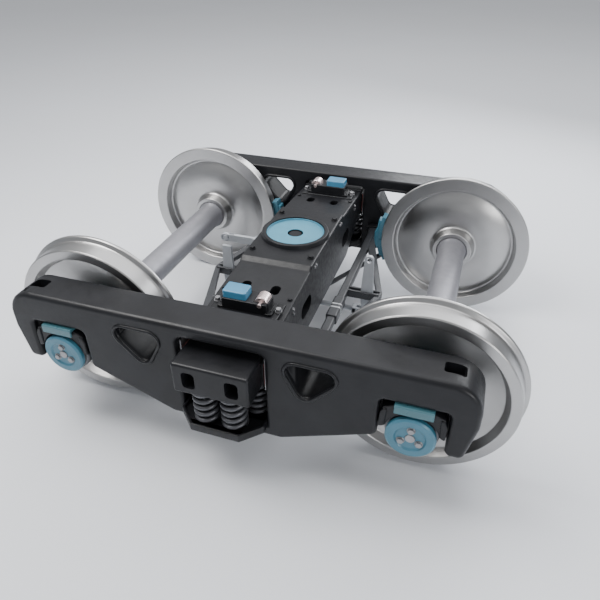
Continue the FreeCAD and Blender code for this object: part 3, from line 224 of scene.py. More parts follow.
class Shell:
    """Closed solids gathered into one mesh."""

    def __init__(self):
        self.mesh = bmesh.new()

    def strip(self, rings):
        """Bands of faces between rings that close on themselves."""
        rows = [[self.mesh.verts.new(spot) for spot in ring] for ring in rings]
        for low, high in zip(rows, rows[1:]):
            for i in range(len(low)):
                j = (i + 1) % len(low)
                self.mesh.faces.new((low[i], low[j], high[j], high[i]))
        return rows

    def loft(self, rings):
        """Closed solid through rings, flat at both ends."""
        rows = self.strip(rings)
        self.mesh.faces.new(rows[0])
        self.mesh.faces.new(rows[-1])
        return self

    def prism(self, outline, plane, first, last, bevel=0.0, holes=(), steps=3, back=None):
        """Outline between two places on the axis that the plane faces, edges rounded.

        The bevel is that of the last face; back is that of the first, the same if not given.
        """
        back = bevel if back is None else back
        (low, low_bevel), (high, high_bevel) = sorted(((first, back), (last, bevel)))
        spot = {"XY": lambda a, b, c: (a, b, c), "XZ": lambda a, b, c: (a, c, b),
                "YZ": lambda a, b, c: (c, a, b)}[plane]
        loops = [outline if signed_area(outline) > 0 else outline[::-1]]
        loops += [hole if signed_area(hole) < 0 else hole[::-1] for hole in holes]
        stages = []
        for size, level, sign in ((low_bevel, low, 1), (high_bevel, high, -1)):
            quarter = [(0.0, level)]
            if size:
                quarter = [(size * (1 - math.cos(math.pi / 2 * k / steps)),
                            level + sign * size * (1 - math.sin(math.pi / 2 * k / steps)))
                           for k in range(steps + 1)]
            stages += quarter[::-1] if sign > 0 else quarter
        rows = []
        for loop in loops:
            rings = [[spot(p.x, p.y, level) for p in inset(loop, size)]
                     for size, level in stages]
            rows.append(self.strip(rings))
        for end in (0, -1):
            cap = [[Vector(vertex.co) for vertex in row[end]] for row in rows]
            flat = [vertex for row in rows for vertex in row[end]]
            for triangle in tessellate_polygon(cap):
                corners = [flat[i] for i in triangle]
                if len(set(corners)) == 3 and not self.mesh.faces.get(corners):
                    self.mesh.faces.new(corners)
        return self

    def lathe(self, profile, centre, axis="Y", segments=96):
        """Closed profile of (along, radius) turned about an axis through the centre."""
        centre = Vector(centre)
        rows = []
        for i in range(segments):
            angle = TURN * i / segments
            row = []
            for along, radius in profile:
                c, s = radius * math.cos(angle), radius * math.sin(angle)
                offset = {"X": (along, c, s), "Y": (c, along, s), "Z": (c, s, along)}[axis]
                row.append(centre + Vector(offset))
            rows.append(row)
        self.strip(rows + rows[:1])
        return self

    def tube(self, path, radius, sides=16, closed=False):
        """Round bar along a path; radius is a number or one for each point."""
        path = [Vector(p) for p in path]
        radii = [radius] * len(path) if isinstance(radius, (int, float)) else radius
        rings = []
        normal = None
        for i, here in enumerate(path):
            before = path[i - 1] if i or closed else here
            after = path[(i + 1) % len(path)] if i + 1 < len(path) or closed else here
            run = (after - before).normalized()
            if normal is None:
                normal = run.orthogonal()
            normal = (normal - run * normal.dot(run)).normalized()
            across = run.cross(normal)
            rings.append([here + radii[i] * (math.cos(TURN * k / sides) * normal
                                             + math.sin(TURN * k / sides) * across)
                          for k in range(sides)])
        if closed:
            self.strip(rings + rings[:1])
        else:
            self.loft(rings)
        return self

    def bolt(self, spot, axis, across, height, washer=0.004):
        """Hexagon head on a washer, pointing along the axis."""
        turn = Vector((0, 0, 1)).rotation_difference(Vector(axis)).to_matrix()
        spot = Vector(spot)

        def ring(radius, level, sides):
            return [spot + turn @ Vector((radius * math.cos(TURN * i / sides),
                                          radius * math.sin(TURN * i / sides), level))
                    for i in range(sides)]
        corner = across / math.sqrt(3)
        self.loft([ring(corner * 1.22, 0, 24), ring(corner * 1.22, washer * 0.7, 24),
                   ring(corner * 1.16, washer, 24)])
        self.loft([ring(corner, washer * 0.5, 6), ring(corner, height - across * 0.08, 6),
                   ring(corner * 0.86, height, 6)])
        return self

    def less(self, cutter):
        """Take another shell out of this one."""
        pair = []
        for shell in (self, cutter):
            bmesh.ops.remove_doubles(shell.mesh, verts=shell.mesh.verts, dist=1e-6)
            bmesh.ops.recalc_face_normals(shell.mesh, faces=shell.mesh.faces)
            data = bpy.data.meshes.new("work")
            shell.mesh.to_mesh(data)
            pair.append(bpy.data.objects.new("work", data))
            bpy.context.scene.collection.objects.link(pair[-1])
        cut = pair[0].modifiers.new("cut", "BOOLEAN")
        cut.operation = "DIFFERENCE"
        cut.solver = "EXACT"
        cut.object = pair[1]
        bpy.context.view_layer.update()
        seen = pair[0].evaluated_get(bpy.context.evaluated_depsgraph_get())
        result = bpy.data.meshes.new_from_object(seen)
        self.mesh.clear()
        self.mesh.from_mesh(result)
        for work in pair:
            bpy.data.objects.remove(work)
        return self

    def add(self, other):
        """Put another shell beside the solids of this one."""
        data = bpy.data.meshes.new("work")
        other.mesh.to_mesh(data)
        self.mesh.from_mesh(data)
        return self


def piece(name, shell, look, body, replaced=(), origin=(0, 0, 0), crease=38):
    """Turn a shell into an object that rides on a body and stands for solids."""
    material, slot = look
    bmesh.ops.remove_doubles(shell.mesh, verts=shell.mesh.verts, dist=2e-6)
    loose = [v for v in shell.mesh.verts if not v.link_faces]
    bmesh.ops.delete(shell.mesh, geom=loose, context="VERTS")
    bmesh.ops.recalc_face_normals(shell.mesh, faces=shell.mesh.faces)
    data = bpy.data.meshes.new(name)
    shell.mesh.to_mesh(data)
    shell.mesh.free()
    data.transform(Matrix.Translation(-Vector(origin)))
    data.materials.append(material)
    data.shade_smooth()
    data.set_sharp_from_angle(angle=math.radians(crease))
    made = bpy.data.objects.new(name, data)
    made.location = origin
    bpy.context.scene.collection.objects.link(made)
    normals = made.modifiers.new("normals", "WEIGHTED_NORMAL")
    normals.keep_sharp = True
    bpy.context.view_layer.update()
    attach(made, body)
    if replaced:
        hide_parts(*replaced)
    return made


# Materials

class Nodes:
    """Short ways to build one material."""

    def __init__(self, name, roughness, metallic, coat=0.0):
        self.material = bpy.data.materials.new(name)
        self.material.use_nodes = True
        self.tree = self.material.node_tree
        self.shader = self.tree.nodes["Principled BSDF"]
        self.shader.inputs["Roughness"].default_value = roughness
        self.shader.inputs["Metallic"].default_value = metallic
        self.shader.inputs["Coat Weight"].default_value = coat
        self.shader.inputs["Coat Roughness"].default_value = 0.18
        self.where = self.tree.nodes.new("ShaderNodeTexCoord").outputs["Object"]

    def node(self, kind, values=(), **settings):
        made = self.tree.nodes.new(kind)
        for key, value in settings.items():
            setattr(made, key, value)
        for key, value in dict(values).items():
            made.inputs[key].default_value = value
        return made

    def link(self, source, target):
        self.tree.links.new(source, target)

    def noise(self, scale, detail=4.0, stretch=None, roughness=0.55):
        made = self.node("ShaderNodeTexNoise",
                         {"Scale": scale, "Detail": detail, "Roughness": roughness})
        where = self.where
        if stretch:
            mapping = self.node("ShaderNodeMapping", {"Scale": stretch})
            self.link(where, mapping.inputs["Vector"])
            where = mapping.outputs["Vector"]
        self.link(where, made.inputs["Vector"])
        return made.outputs["Fac"]

    def spread(self, value, low, high, first=0.3, last=0.7):
        made = self.node("ShaderNodeMapRange", {"From Min": first, "From Max": last,
                                                "To Min": low, "To Max": high})
        self.link(value, made.inputs["Value"])
        return made.outputs["Result"]

    def colours(self, value, stops):
        made = self.node("ShaderNodeValToRGB")
        ramp = made.color_ramp
        while len(ramp.elements) < len(stops):
            ramp.elements.new(0.5)
        for element, (place, colour) in zip(ramp.elements, stops):
            element.position = place
            element.color = (*colour, 1)
        self.link(value, made.inputs["Fac"])
        return made.outputs["Color"]

    def paint(self, value, stops):
        self.link(self.colours(value, stops), self.shader.inputs["Base Color"])

    def rough(self, value, low, high):
        self.link(self.spread(value, low, high), self.shader.inputs["Roughness"])

    def bump(self, layers):
        """Layers of (value, strength, depth)."""
        below = None
        for value, strength, depth in layers:
            made = self.node("ShaderNodeBump", {"Strength": strength, "Distance": depth})
            self.link(value, made.inputs["Height"])
            if below:
                self.link(below, made.inputs["Normal"])
            below = made.outputs["Normal"]
        self.link(below, self.shader.inputs["Normal"])


def shades(colour, spread):
    """Darker and lighter neighbours of a colour, as stops for a ramp."""
    return [(0.32, [c * (1 - spread) for c in colour]), (0.52, colour),
            (0.72, [min(1, c * (1 + spread)) for c in colour])]


def casting_look():
    n = Nodes("black_casting", 0.4, 0.0, coat=0.05)
    n.shader.inputs["Specular IOR Level"].default_value = 0.25
    cloud = n.noise(7.0, 5.0)
    n.paint(cloud, shades((0.0098, 0.0102, 0.0122), 0.28))
    n.rough(n.noise(38.0, 6.0), 0.30, 0.45)
    n.bump([(n.noise(520.0, 3.0), 0.16, 0.0006), (n.noise(60.0, 4.0), 0.10, 0.0012)])
    return n.material


def turned_look(name, colour, low, high, line=0.05, metallic=1.0, spread=0.06, rings=340.0):
    """Turned steel with fine lines round the Y axis."""
    n = Nodes(name, 0.3, metallic)
    lines = n.node("ShaderNodeTexWave", {"Scale": rings, "Distortion": 1.2, "Detail": 2.0},
                   wave_type="RINGS", rings_direction="Y")
    n.link(n.where, lines.inputs["Vector"])
    n.paint(n.noise(11.0, 5.0), shades(colour, spread))
    n.rough(n.noise(26.0, 6.0), low, high)
    n.bump([(lines.outputs["Fac"], line, 0.0004), (n.noise(240.0, 3.0), 0.04, 0.0004)])
    return n.material


def plain_look(name, colour, low, high, metallic=0.0, grain=300.0, strength=0.08,
               spread=0.08, coat=0.0, cloud=16.0, stretch=None):
    n = Nodes(name, (low + high) / 2, metallic, coat=coat)
    n.paint(n.noise(cloud, 6.0, stretch), shades(colour, spread))
    n.rough(n.noise(44.0, 5.0), low, high)
    n.bump([(n.noise(grain, 3.0), strength, 0.0005), (n.noise(40.0, 3.0), 0.05, 0.0008)])
    return n.material


def speckled_look(name, colour, fleck, low, high):
    """Pressed friction material with pale and dark flecks."""
    n = Nodes(name, 0.8, 0.0)
    cells = n.node("ShaderNodeTexVoronoi", {"Scale": 260.0})
    n.link(n.where, cells.inputs["Vector"])
    n.paint(cells.outputs["Distance"], [(0.0, fleck), (0.22, colour),
                                        (0.9, [c * 0.7 for c in colour])])
    n.rough(n.noise(60.0), low, high)
    n.bump([(cells.outputs["Distance"], 0.2, 0.0008)])
    return n.material


LOOKS = {
    "black_casting": casting_look(),
    "wheel_steel": turned_look("wheel_steel", (0.43, 0.427, 0.425), 0.285, 0.325, 0.03,
                               spread=0.03),
    "axle_steel": turned_look("axle_steel", (0.27, 0.27, 0.295), 0.42, 0.56, 0.08, 0.55),
    "bearing_grey": plain_look("bearing_grey", (0.115, 0.117, 0.125), 0.30, 0.52, 0.7,
                               spread=0.75, cloud=9.0, stretch=(1.0, 3.4, 1.0)),
    "bright_steel": plain_look("bright_steel", (0.30, 0.30, 0.31), 0.28, 0.42, 0.9,
                               spread=0.15),
    "roller_steel": plain_look("roller_steel", (0.74, 0.62, 0.61), 0.22, 0.34, 0.85),
    "plate_steel": plain_look("plate_steel", (0.30, 0.30, 0.31), 0.30, 0.46, 0.85,
                              spread=0.2, stretch=(1.0, 1.0, 0.12)),
    "spring_steel": plain_look("spring_steel", (0.085, 0.087, 0.095), 0.30, 0.46, 0.55,
                               spread=0.3, coat=0.1),
    "light_blue": plain_look("light_blue", (0.045, 0.165, 0.235), 0.28, 0.40, coat=0.15),
    "mid_blue": plain_look("mid_blue", (0.058, 0.215, 0.355), 0.30, 0.42, coat=0.15),
    "grey_paint": plain_look("grey_paint", (0.40, 0.42, 0.45), 0.34, 0.46, 0.25),
    "dark_paint": plain_look("dark_paint", (0.030, 0.032, 0.037), 0.32, 0.46, coat=0.1),
    "teal_pad": plain_look("teal_pad", (0.048, 0.142, 0.172), 0.26, 0.36, coat=0.2,
                           grain=420.0, strength=0.05),
    "pale_liner": turned_look("pale_liner", (0.070, 0.245, 0.345), 0.38, 0.50, 0.05, 0.0),
    "lining_red": speckled_look("lining_red", (0.34, 0.115, 0.11), (0.62, 0.42, 0.38),
                                0.6, 0.8),
    "shoe_blue": speckled_look("shoe_blue", (0.065, 0.20, 0.28), (0.24, 0.38, 0.45),
                               0.55, 0.75),
}
BALL_STEEL = plain_look("ball_steel", (0.06, 0.062, 0.068), 0.30, 0.45, 0.6)
BAND = plain_look("band_paint", (0.62, 0.64, 0.66), 0.4, 0.5)


def look(slot):
    """A material with the slot of the same name."""
    return LOOKS[slot], slot


# Wheelsets

def bulge(start, pull, end, steps=14):
    """Inner points of a smooth curve from start to end, drawn towards a third point."""
    start, pull, end = Vector(start), Vector(pull), Vector(end)
    shares = [(i + 1) / (steps + 1) for i in range(steps)]
    return [tuple(start * (1 - t) ** 2 + pull * 2 * t * (1 - t) + end * t ** 2)
            for t in shares]


def wheel_profile():
    """Rim, flange, dished plate and hub: places from the wheelset's middle, and radii."""
    dish = HUB_IN + 0.071
    belly = RIM_BORE - 0.140
    root_in = (RIM_IN + 0.055, RIM_BORE - 0.014)
    root_out = (RIM_IN + 0.078, RIM_BORE - 0.016)
    hub_in = (dish, HUB_R + 0.014)
    hub_out = (dish + 0.045, HUB_R + 0.014)
    inner = ([(*hub_in, 0.016)] + bulge(hub_in, (dish - 0.022, belly), root_in)
             + [(*root_in, 0.012)])
    outer = ([(*root_out, 0.012)] + bulge(root_out, (dish + 0.012, belly), hub_out)
             + [(*hub_out, 0.016)])
    return rounded([
        (HUB_IN, AXLE_SEAT_R + 0.006, 0.002), (HUB_IN, HUB_R - 0.004, 0.007),
        *inner, (RIM_IN, RIM_BORE + 0.006, 0.009),
        (RIM_IN, FLANGE_R, 0.008), (RIM_IN + 0.020, FLANGE_R, 0.011),
        (RIM_IN + FLANGE_WIDTH, TREAD_R + TREAD_FALL, 0.012),
        (RIM_OUT - TREAD_EDGE, TREAD_R - TREAD_FALL, 0.004),
        (RIM_OUT, TREAD_R - 0.009, 0.003), (RIM_OUT, RIM_BORE + 0.006, 0.009),
        *outer, (HUB_OUT, HUB_R - 0.004, 0.007),
        (HUB_OUT, AXLE_SEAT_R + 0.006, 0.002), (HUB_OUT - 0.006, AXLE_SEAT_R),
        (HUB_IN + 0.006, AXLE_SEAT_R),
    ], 6)


def mirrored_profile(profile, side):
    """A lathe profile for one side of the track."""
    return [(side * p[0], p[1]) for p in profile]


def add_wheelset(end, sign):
    """Two turned wheels on a turned axle, with their end caps."""
    body = f"wheelset_{end}"
    centre = (sign * AXLE_X, 0, AXLE_Z)
    profile = wheel_profile()
    for name, side in SIDES:
        shell = Shell().lathe(mirrored_profile(profile, side), centre, segments=144)
        piece(f"wheel_{end}_{name}_turned", shell, look("wheel_steel"), body,
              [f"wheel_{end}_{name}"], centre)
    ring_out, tip = FRAME_Y - BEARING_HALF - 0.006, FRAME_Y + BEARING_HALF
    half = [(HUB_IN - 0.030, AXLE_R, 0.12), (HUB_IN, AXLE_SEAT_R, 0.02),
            (HUB_OUT + 0.002, AXLE_SEAT_R, 0.003), (HUB_OUT + 0.010, BACK_RING_R, 0.003),
            (ring_out, BACK_RING_R, 0.002), (ring_out, JOURNAL_R), (tip, JOURNAL_R),
            (tip, 0.001)]
    outline = half + flipped(half)
    shell = Shell().lathe(rounded(outline), centre, segments=72)
    piece(f"axle_{end}_turned", shell, look("axle_steel"), body, [f"axle_{end}"], centre)
    add_end_caps(end, body, centre)


def add_end_caps(end, body, centre):
    """A dished cap on each end of the axle, with three screws and a plug."""
    rim = reach(f"end_cap_{end}_far", 2)
    back = FRAME_Y + BEARING_HALF + GAP
    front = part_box(f"end_cap_{end}_far")[1][1]
    dish = front - 0.008
    for name, side in SIDES:
        profile = rounded([
            (back, 0.0), (back, rim, 0.003), (dish, rim, 0.004), (front, rim - 0.010, 0.005),
            (front, 0.074, 0.003), (front - 0.005, 0.070, 0.002), (dish, 0.066, 0.001),
            (dish, 0.0)])
        piece(f"end_cap_{end}_{name}_ring", Shell().lathe(mirrored_profile(profile, side), centre),
              look("light_blue"), body, [f"end_cap_{end}_{name}"], centre)
    screws = Shell()
    spacing = 0.048
    for _, side in SIDES:
        level = side * dish
        for i in range(3):
            angle = math.pi / 2 + TURN * i / 3
            spot = Vector(centre) + Vector((spacing * math.cos(angle), level,
                                            spacing * math.sin(angle)))
            screws.bolt(spot, (0, side, 0), 0.028, 0.0128, 0.003)
        plug = rounded([(level, 0.0), (level, 0.024, 0.001), (level + side * 0.006, 0.022, 0.001),
                        (level + side * 0.006, 0.0)])
        screws.lathe(plug, centre, segments=32)
    piece(f"end_cap_screws_{end}_heads", screws, look("bright_steel"), body,
          [f"end_cap_screws_{end}"])


def add_bearing(end, sign, name, side):
    """Cup with a groove and a seal lip at each end."""
    centre = (sign * AXLE_X, side * FRAME_Y, AXLE_Z)
    r, half = BEARING_R, BEARING_HALF
    lip = r - SEAL_DROP
    left = [(-half, CUP_BORE), (-half, lip, 0.003), (-half + 0.014, lip, 0.002),
            (-half + 0.018, r - 0.003, 0.002), (-half + 0.026, r, 0.004),
            (-0.006, r), (-0.005, r - 0.002)]
    profile = rounded(left + flipped(left))
    piece(f"bearing_{end}_{name}_cup", Shell().lathe(profile, centre, segments=80),
          look("bearing_grey"), "frames", [f"bearing_cup_{end}_{name}"], centre)


def saddle_outline(half, skirt, shoulder, crown, top):
    """Section of the adapter with the bearing's round underneath."""
    radius = BEARING_R + GAP
    first = math.asin(skirt / radius)
    arc = [Vector((radius * math.cos(first + (math.pi - 2 * first) * i / 24),
                   radius * math.sin(first + (math.pi - 2 * first) * i / 24)))
           for i in range(25)]
    outer = rounded([(-half, skirt, 0.006), (-half, shoulder, 0.008), (-crown, top, 0.006),
                     (crown, top, 0.006), (half, shoulder, 0.008), (half, skirt, 0.006)], 4)
    return outer + arc


def shifted(points, a, b):
    """An outline moved in its plane."""
    return [Vector((p.x + a, p.y + b)) for p in points]


def add_adapter(end, sign, name, side):
    """Cast saddle on the bearing, with two lugs at each end."""
    node = f"adapter_{end}_{name}"
    x, y = sign * AXLE_X, side * FRAME_Y
    half_x, half_y = 0.139, reach(node, 1)
    skirt, crown = 0.033, 0.092
    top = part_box(node)[1][2] - AXLE_Z
    outline = saddle_outline(half_x, skirt, top - 0.020, crown, top)
    shell = Shell().prism(shifted(outline, x, AXLE_Z), "XZ", y - half_y + 0.006,
                          y + half_y - 0.006, 0.005)
    rib = 0.045
    for sx in (-1, 1):
        lug = [(sx * a, b, c) for a, b, c in (
            (0.122, 0.036, 0.004), (0.134, 0.026, 0.004), (0.150, 0.021, 0.006),
            (0.150, 0.104, 0.010), (0.134, 0.138, 0.008), (0.118, 0.138, 0.004))]
        for low, high in ((y - half_y, y - rib), (y + rib, y + half_y)):
            shell.prism(shifted(rounded(lug, 4), x, AXLE_Z), "XZ", low, high, 0.006)
    piece(f"{node}_casting", shell, look("black_casting"), "frames", [node])


def add_pad(end, name, side):
    """Elastomer pad with lips turned down over the adapter."""
    node = f"adapter_pad_{end}_{name}"
    low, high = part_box(node)
    y = side * FRAME_Y
    half = reach(node, 1)
    inner = half - 0.0127
    roof = high[2]
    under = roof - 0.0197
    section = rounded([
        (-half, low[2], 0.003), (-half, roof, 0.0085), (half, roof, 0.0085),
        (half, low[2], 0.003), (inner, low[2], 0.002), (inner, under), (-inner, under),
        (-inner, low[2], 0.002)], 5)
    shell = Shell().prism(shifted(section, y, 0), "YZ", low[0], high[0], 0.004)
    piece(f"{node}_moulding", shell, look("teal_pad"), "frames", [node])


# Side frames

def frame_corners():
    """Outside of a side frame, with a jaw over each axle."""
    jaw_out, jaw_in = AXLE_X + JAW_HALF, AXLE_X - JAW_HALF
    right = [
        (FRAME_END, FRAME_TOP, 0.150), (FRAME_END, LEG_TIP + 0.200, 0.090),
        (jaw_out + LEG_WIDTH, LEG_TIP, 0.034), (jaw_out, LEG_TIP, 0.030),
        (jaw_out, ROOF, 0.026), (jaw_in, ROOF, 0.026), (jaw_in, LEG_TIP + 0.026, 0.036),
        (OPENING_HALF + 0.076, FRAME_FOOT, 0.080),
    ]
    return right + flipped(right)


def window_corners(sign, grow=0.0):
    """Rounded triangle with its apex down."""
    left, top = OPENING_HALF + 0.078, OPENING_TOP - 0.012
    radius = WINDOW_CORNER + grow
    corners = [(left - 1.6 * grow, top + grow, radius),
               (left + WINDOW_WIDTH + 2.2 * grow, top + grow, radius),
               (left + WINDOW_WIDTH * 0.34, top - WINDOW_HEIGHT - 1.5 * grow, radius)]
    return corners if sign > 0 else flipped(corners)


def octagon(half_a, half_b, cut):
    """Rectangle with cut corners."""
    radius = 0.012
    right = [(half_a - cut, -half_b, radius), (half_a, -half_b + cut, radius),
             (half_a, half_b - cut, radius), (half_a - cut, half_b, radius)]
    corners = right + flipped(right)
    return rounded(corners[1:] + corners[:1], 4)


def spring_places():
    """Rows of two, three and two springs, from the seat's middle."""
    row, pitch = 0.136, 0.148
    return [(-pitch / 2, -row), (pitch / 2, -row), (-pitch, 0), (0, 0), (pitch, 0),
            (-pitch / 2, row), (pitch / 2, row)]


def core_corners():
    """Hollows of the casting at the outer legs and under the windows."""
    jaw_out, jaw_in = AXLE_X + JAW_HALF, AXLE_X - JAW_HALF
    inner, outer, top = OPENING_HALF + 0.130, jaw_in - 0.034, ROOF - 0.090
    leg = [(jaw_out + 0.028, LEG_TIP + 0.044, 0.010), (jaw_out + 0.068, LEG_TIP + 0.060, 0.010),
           (FRAME_END - 0.036, ROOF - 0.060, 0.010), (jaw_out + 0.028, ROOF - 0.020, 0.010)]
    chord = [(inner, FRAME_FOOT + 0.084, 0.014), (outer, LEG_TIP + 0.066, 0.014),
             (outer, top, 0.020), (jaw_in - 0.096, top, 0.014),
             (inner, FRAME_FOOT + 0.160, 0.014)]
    return [leg, flipped(leg), chord, flipped(chord)]


def add_side_frame(name, side):
    """Outer wall with windows, hollow inner part, spring seat, guides and brackets."""
    node = f"side_frame_{name}"
    y = side * FRAME_Y
    face, inner, split = (y + side * d for d in (FRAME_HALF, -FRAME_HALF, 0.058))
    outline = rounded(frame_corners(), 8)
    holes = [rounded(window_corners(s), 8) for s in (1, -1)]
    corner, soft, sharp = 0.034, 0.024, 0.012
    opening = rounded([(-OPENING_HALF, SEAT_TOP), (OPENING_HALF, SEAT_TOP),
                       (OPENING_HALF, OPENING_TOP, corner), (-OPENING_HALF, OPENING_TOP, corner)])
    cores = [rounded(c, 4) for c in core_corners()]
    shell = Shell().prism(outline, "XZ", split, face, soft, holes + [opening], 5, 0.0)
    back = Shell().prism(outline, "XZ", split, inner, sharp, holes + [opening] + cores, 3, 0.0)
    slots = Shell()
    slot_x, slot_y, half_x, half_y = FRAME_END - 0.142, y - side * 0.010, 0.048, 0.034
    for s in (-1, 1):
        slots.prism(box_outline(s * slot_x - half_x, slot_y - half_y, s * slot_x + half_x,
                                slot_y + half_y, 0.014), "XY",
                    FRAME_TOP - 0.055, FRAME_TOP + 0.050)
    shell.add(back.less(slots))
    add_window_rims(shell, face - side * 0.001, inner + side * 0.001)
    add_spring_seat(shell, y)
    add_frame_brackets(shell, y, side)
    piece(f"{node}_casting", shell, look("black_casting"), "frames", [node])


def add_window_rims(shell, face, inner):
    """Rolled rims round the windows on both faces."""
    for s in (1, -1):
        for level, wide in ((face, 0.0090), (inner, 0.0110)):
            rim = rounded(window_corners(s, wide + 0.003), 8)
            shell.tube([(p.x, level, p.y) for p in rim], wide, 12, closed=True)


def add_spring_seat(shell, y):
    """Octagonal tray with a boss in each spring, and gussets below it."""
    tray = shifted(octagon(OPENING_HALF + 0.001, SEAT_HALF, SEAT_CUT), 0, y)
    dish = shifted(octagon(OPENING_HALF - 0.013, SEAT_HALF - 0.014, SEAT_CUT - 0.008), 0, y)
    shell.prism(tray, "XY", SEAT_TOP - 0.030, SEAT_TOP, 0.0, back=0.009)
    shell.prism(tray, "XY", SEAT_TOP, SEAT_TOP + SEAT_RIM, 0.004, [dish], back=0.0)
    for x, offset in spring_places():
        shell.lathe(rounded([(SEAT_TOP - 0.001, 0.0), (SEAT_TOP - 0.001, 0.038),
                             (SEAT_TOP + 0.014, 0.033, 0.004), (SEAT_TOP + 0.014, 0.0)]),
                    (x, y + offset, 0), "Z", 32)
    gusset = rounded([(-0.116, SEAT_TOP - 0.028), (0.116, SEAT_TOP - 0.028),
                      (0.076, FRAME_FOOT + 0.012, 0.012), (-0.076, FRAME_FOOT + 0.012, 0.012)])
    for sy in (-1, 1):
        shell.prism(gusset, "XZ", y + sy * (FRAME_HALF - 0.004), y + sy * (SEAT_HALF - 0.040),
                    0.010)


def add_frame_brackets(shell, y, side):
    """Guide ribs in the pedestals, beam guides and brace feet."""
    rib, rib_half, guide_half = 0.018, 0.042, 0.058
    inside = y - side * (FRAME_HALF - 0.006)
    out = y - side * (FRAME_HALF + 0.046)
    for s in (-1, 1):
        for toward in (-1, 1):
            edge = s * AXLE_X + toward * (JAW_HALF - 0.010)
            shell.prism(box_outline(edge, LEG_TIP + 0.060, edge + toward * rib,
                                    ROOF - 0.020, 0.003), "XZ", y - rib_half, y + rib_half,
                        0.003)
        spot = s * BEAM_X
        for level in (BEAM_Z - 0.033, BEAM_Z + 0.019):
            shell.prism(box_outline(spot - guide_half, level, spot + guide_half, level + 0.014,
                                    0.004), "XZ", inside, out, 0.003)
        foot = rounded([(s * BRACE_X - 0.046, BRACE_Z - 0.034, 0.012),
                        (s * BRACE_X + 0.046, BRACE_Z - 0.034, 0.012),
                        (s * BRACE_X + 0.062, BRACE_Z + 0.090),
                        (s * BRACE_X - 0.062, BRACE_Z + 0.090)])
        shell.prism(foot, "XZ", y - side * 0.042, y - side * 0.090, 0.005)


def add_wear_plates():
    """Friction plates on the columns, each with countersunk bolt heads."""
    low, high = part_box("column_wear_plates")
    half, spacing, head = 0.072, 0.045, 0.013
    back, front = COLUMN_FACE + 0.0004, COLUMN_FACE - GAP / 2
    plates = Shell()
    for _, side in SIDES:
        y = side * FRAME_Y
        for s in (-1, 1):
            plates.prism(box_outline(y - half, low[2], y + half, high[2], 0.006), "YZ",
                         s * COLUMN_FACE, s * OPENING_HALF, 0.0015)
            for z in (low[2] + 0.030, high[2] - 0.030):
                for dy in (-spacing, spacing):
                    plates.lathe([(s * back, 0.0), (s * back, head + 0.0005),
                                  (s * front, head), (s * front, 0.0)],
                                 (0, y + dy, z), "X", 20)
    piece("column_wear_plates_steel", plates, look("plate_steel"), "frames",
          ["column_wear_plates"])


# Springs

def coil_path(x, y, radius, wire, turns, hand):
    """Helix with a dead half turn at each end."""
    per_turn = 26
    steps = int(turns * per_turn)
    rise = SPRING_TOP - SPRING_FOOT - wire
    path = []
    for i in range(steps + 1):
        share = i / steps
        eased = min(1, max(0, (share * turns - 0.4) / (turns - 0.8)))
        angle = hand * TURN * i / per_turn
        path.append((x + radius * math.cos(angle), y + radius * math.sin(angle),
                     SPRING_FOOT + wire / 2 + rise * eased))
    return path


def add_springs(name, side):
    """Seven outer springs, each with an inner one wound the other way."""
    shell = Shell()
    for x, offset in spring_places():
        y = side * FRAME_Y + offset
        for radius, wire, turns, hand, sides in ((SPRING_R, 0.025, 5.4, 1, 12),
                                                 (SMALL_SPRING_R, 0.015, 8.3, -1, 8)):
            shell.tube(coil_path(x, y, radius - wire / 2, wire, turns, hand), wire / 2, sides)
    made = piece(f"springs_{name}_coils", shell, look("spring_steel"), "frames",
                 [f"springs_{name}"])
    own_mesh(made)


# Bolster

def add_bolster():
    """Cast box with a centre bowl, cored holes, and an end in each side frame."""
    step, over_seat, belly, flat = 0.880, 0.784, 0.500, 0.310
    deck, shoulder = PLATFORM - 0.022, BOLSTER_END_TOP + 0.030
    half = BOLSTER_X
    right = [(flat + 0.030, PLATFORM, 0.010), (flat + 0.060, deck, 0.020),
             (step, shoulder, 0.010), (step, BOLSTER_FOOT, 0.010), (over_seat, BOLSTER_FOOT, 0.06),
             (belly, BELLY, 0.10)]
    trunk = Shell().prism(rounded(right + flipped(right)), "YZ", -half, half, 0.011, steps=4)
    cuts = Shell()
    window, slot, core = 0.090, 0.046, 0.026
    for s in (-1, 1):
        spot = s * (flat + 0.130)
        cuts.prism(box_outline(spot - window, BELLY + 0.130, spot + window, BELLY + 0.230,
                               0.048), "YZ", -half - 0.010, half + 0.010)
        for x in (-0.068, 0.068):
            cuts.prism(box_outline(x - slot, s * 0.842, x + slot, s * 0.874, 0.008), "XY",
                       BOLSTER_FOOT + 0.060, shoulder + 0.060)
        for x in (-0.085, 0.085):
            cuts.prism(box_outline(x - core, s * 0.545, x + core, s * 0.625, 0.024), "XY",
                       BELLY + 0.240, PLATFORM + 0.060)
    trunk.less(cuts)
    for s in (-1, 1):
        trunk.add(bolster_end(s, step, half))
    add_bowl(trunk)
    for s in (-1, 1):
        for sy in (-1, 1):
            trunk.bolt((s * 0.180, sy * 0.255, PLATFORM), (0, 0, 1), 0.030, 0.016)
            trunk.bolt((s * 0.188, sy * 0.640, deck - 0.0205), (0, 0, 1), 0.022, 0.012)
    add_bolster_brackets(trunk, half)
    add_bolster_ribs(trunk, step, shoulder, half)
    piece("bolster_casting", trunk, look("black_casting"), "bolster_body", ["bolster"])
    add_web_bolts(half)


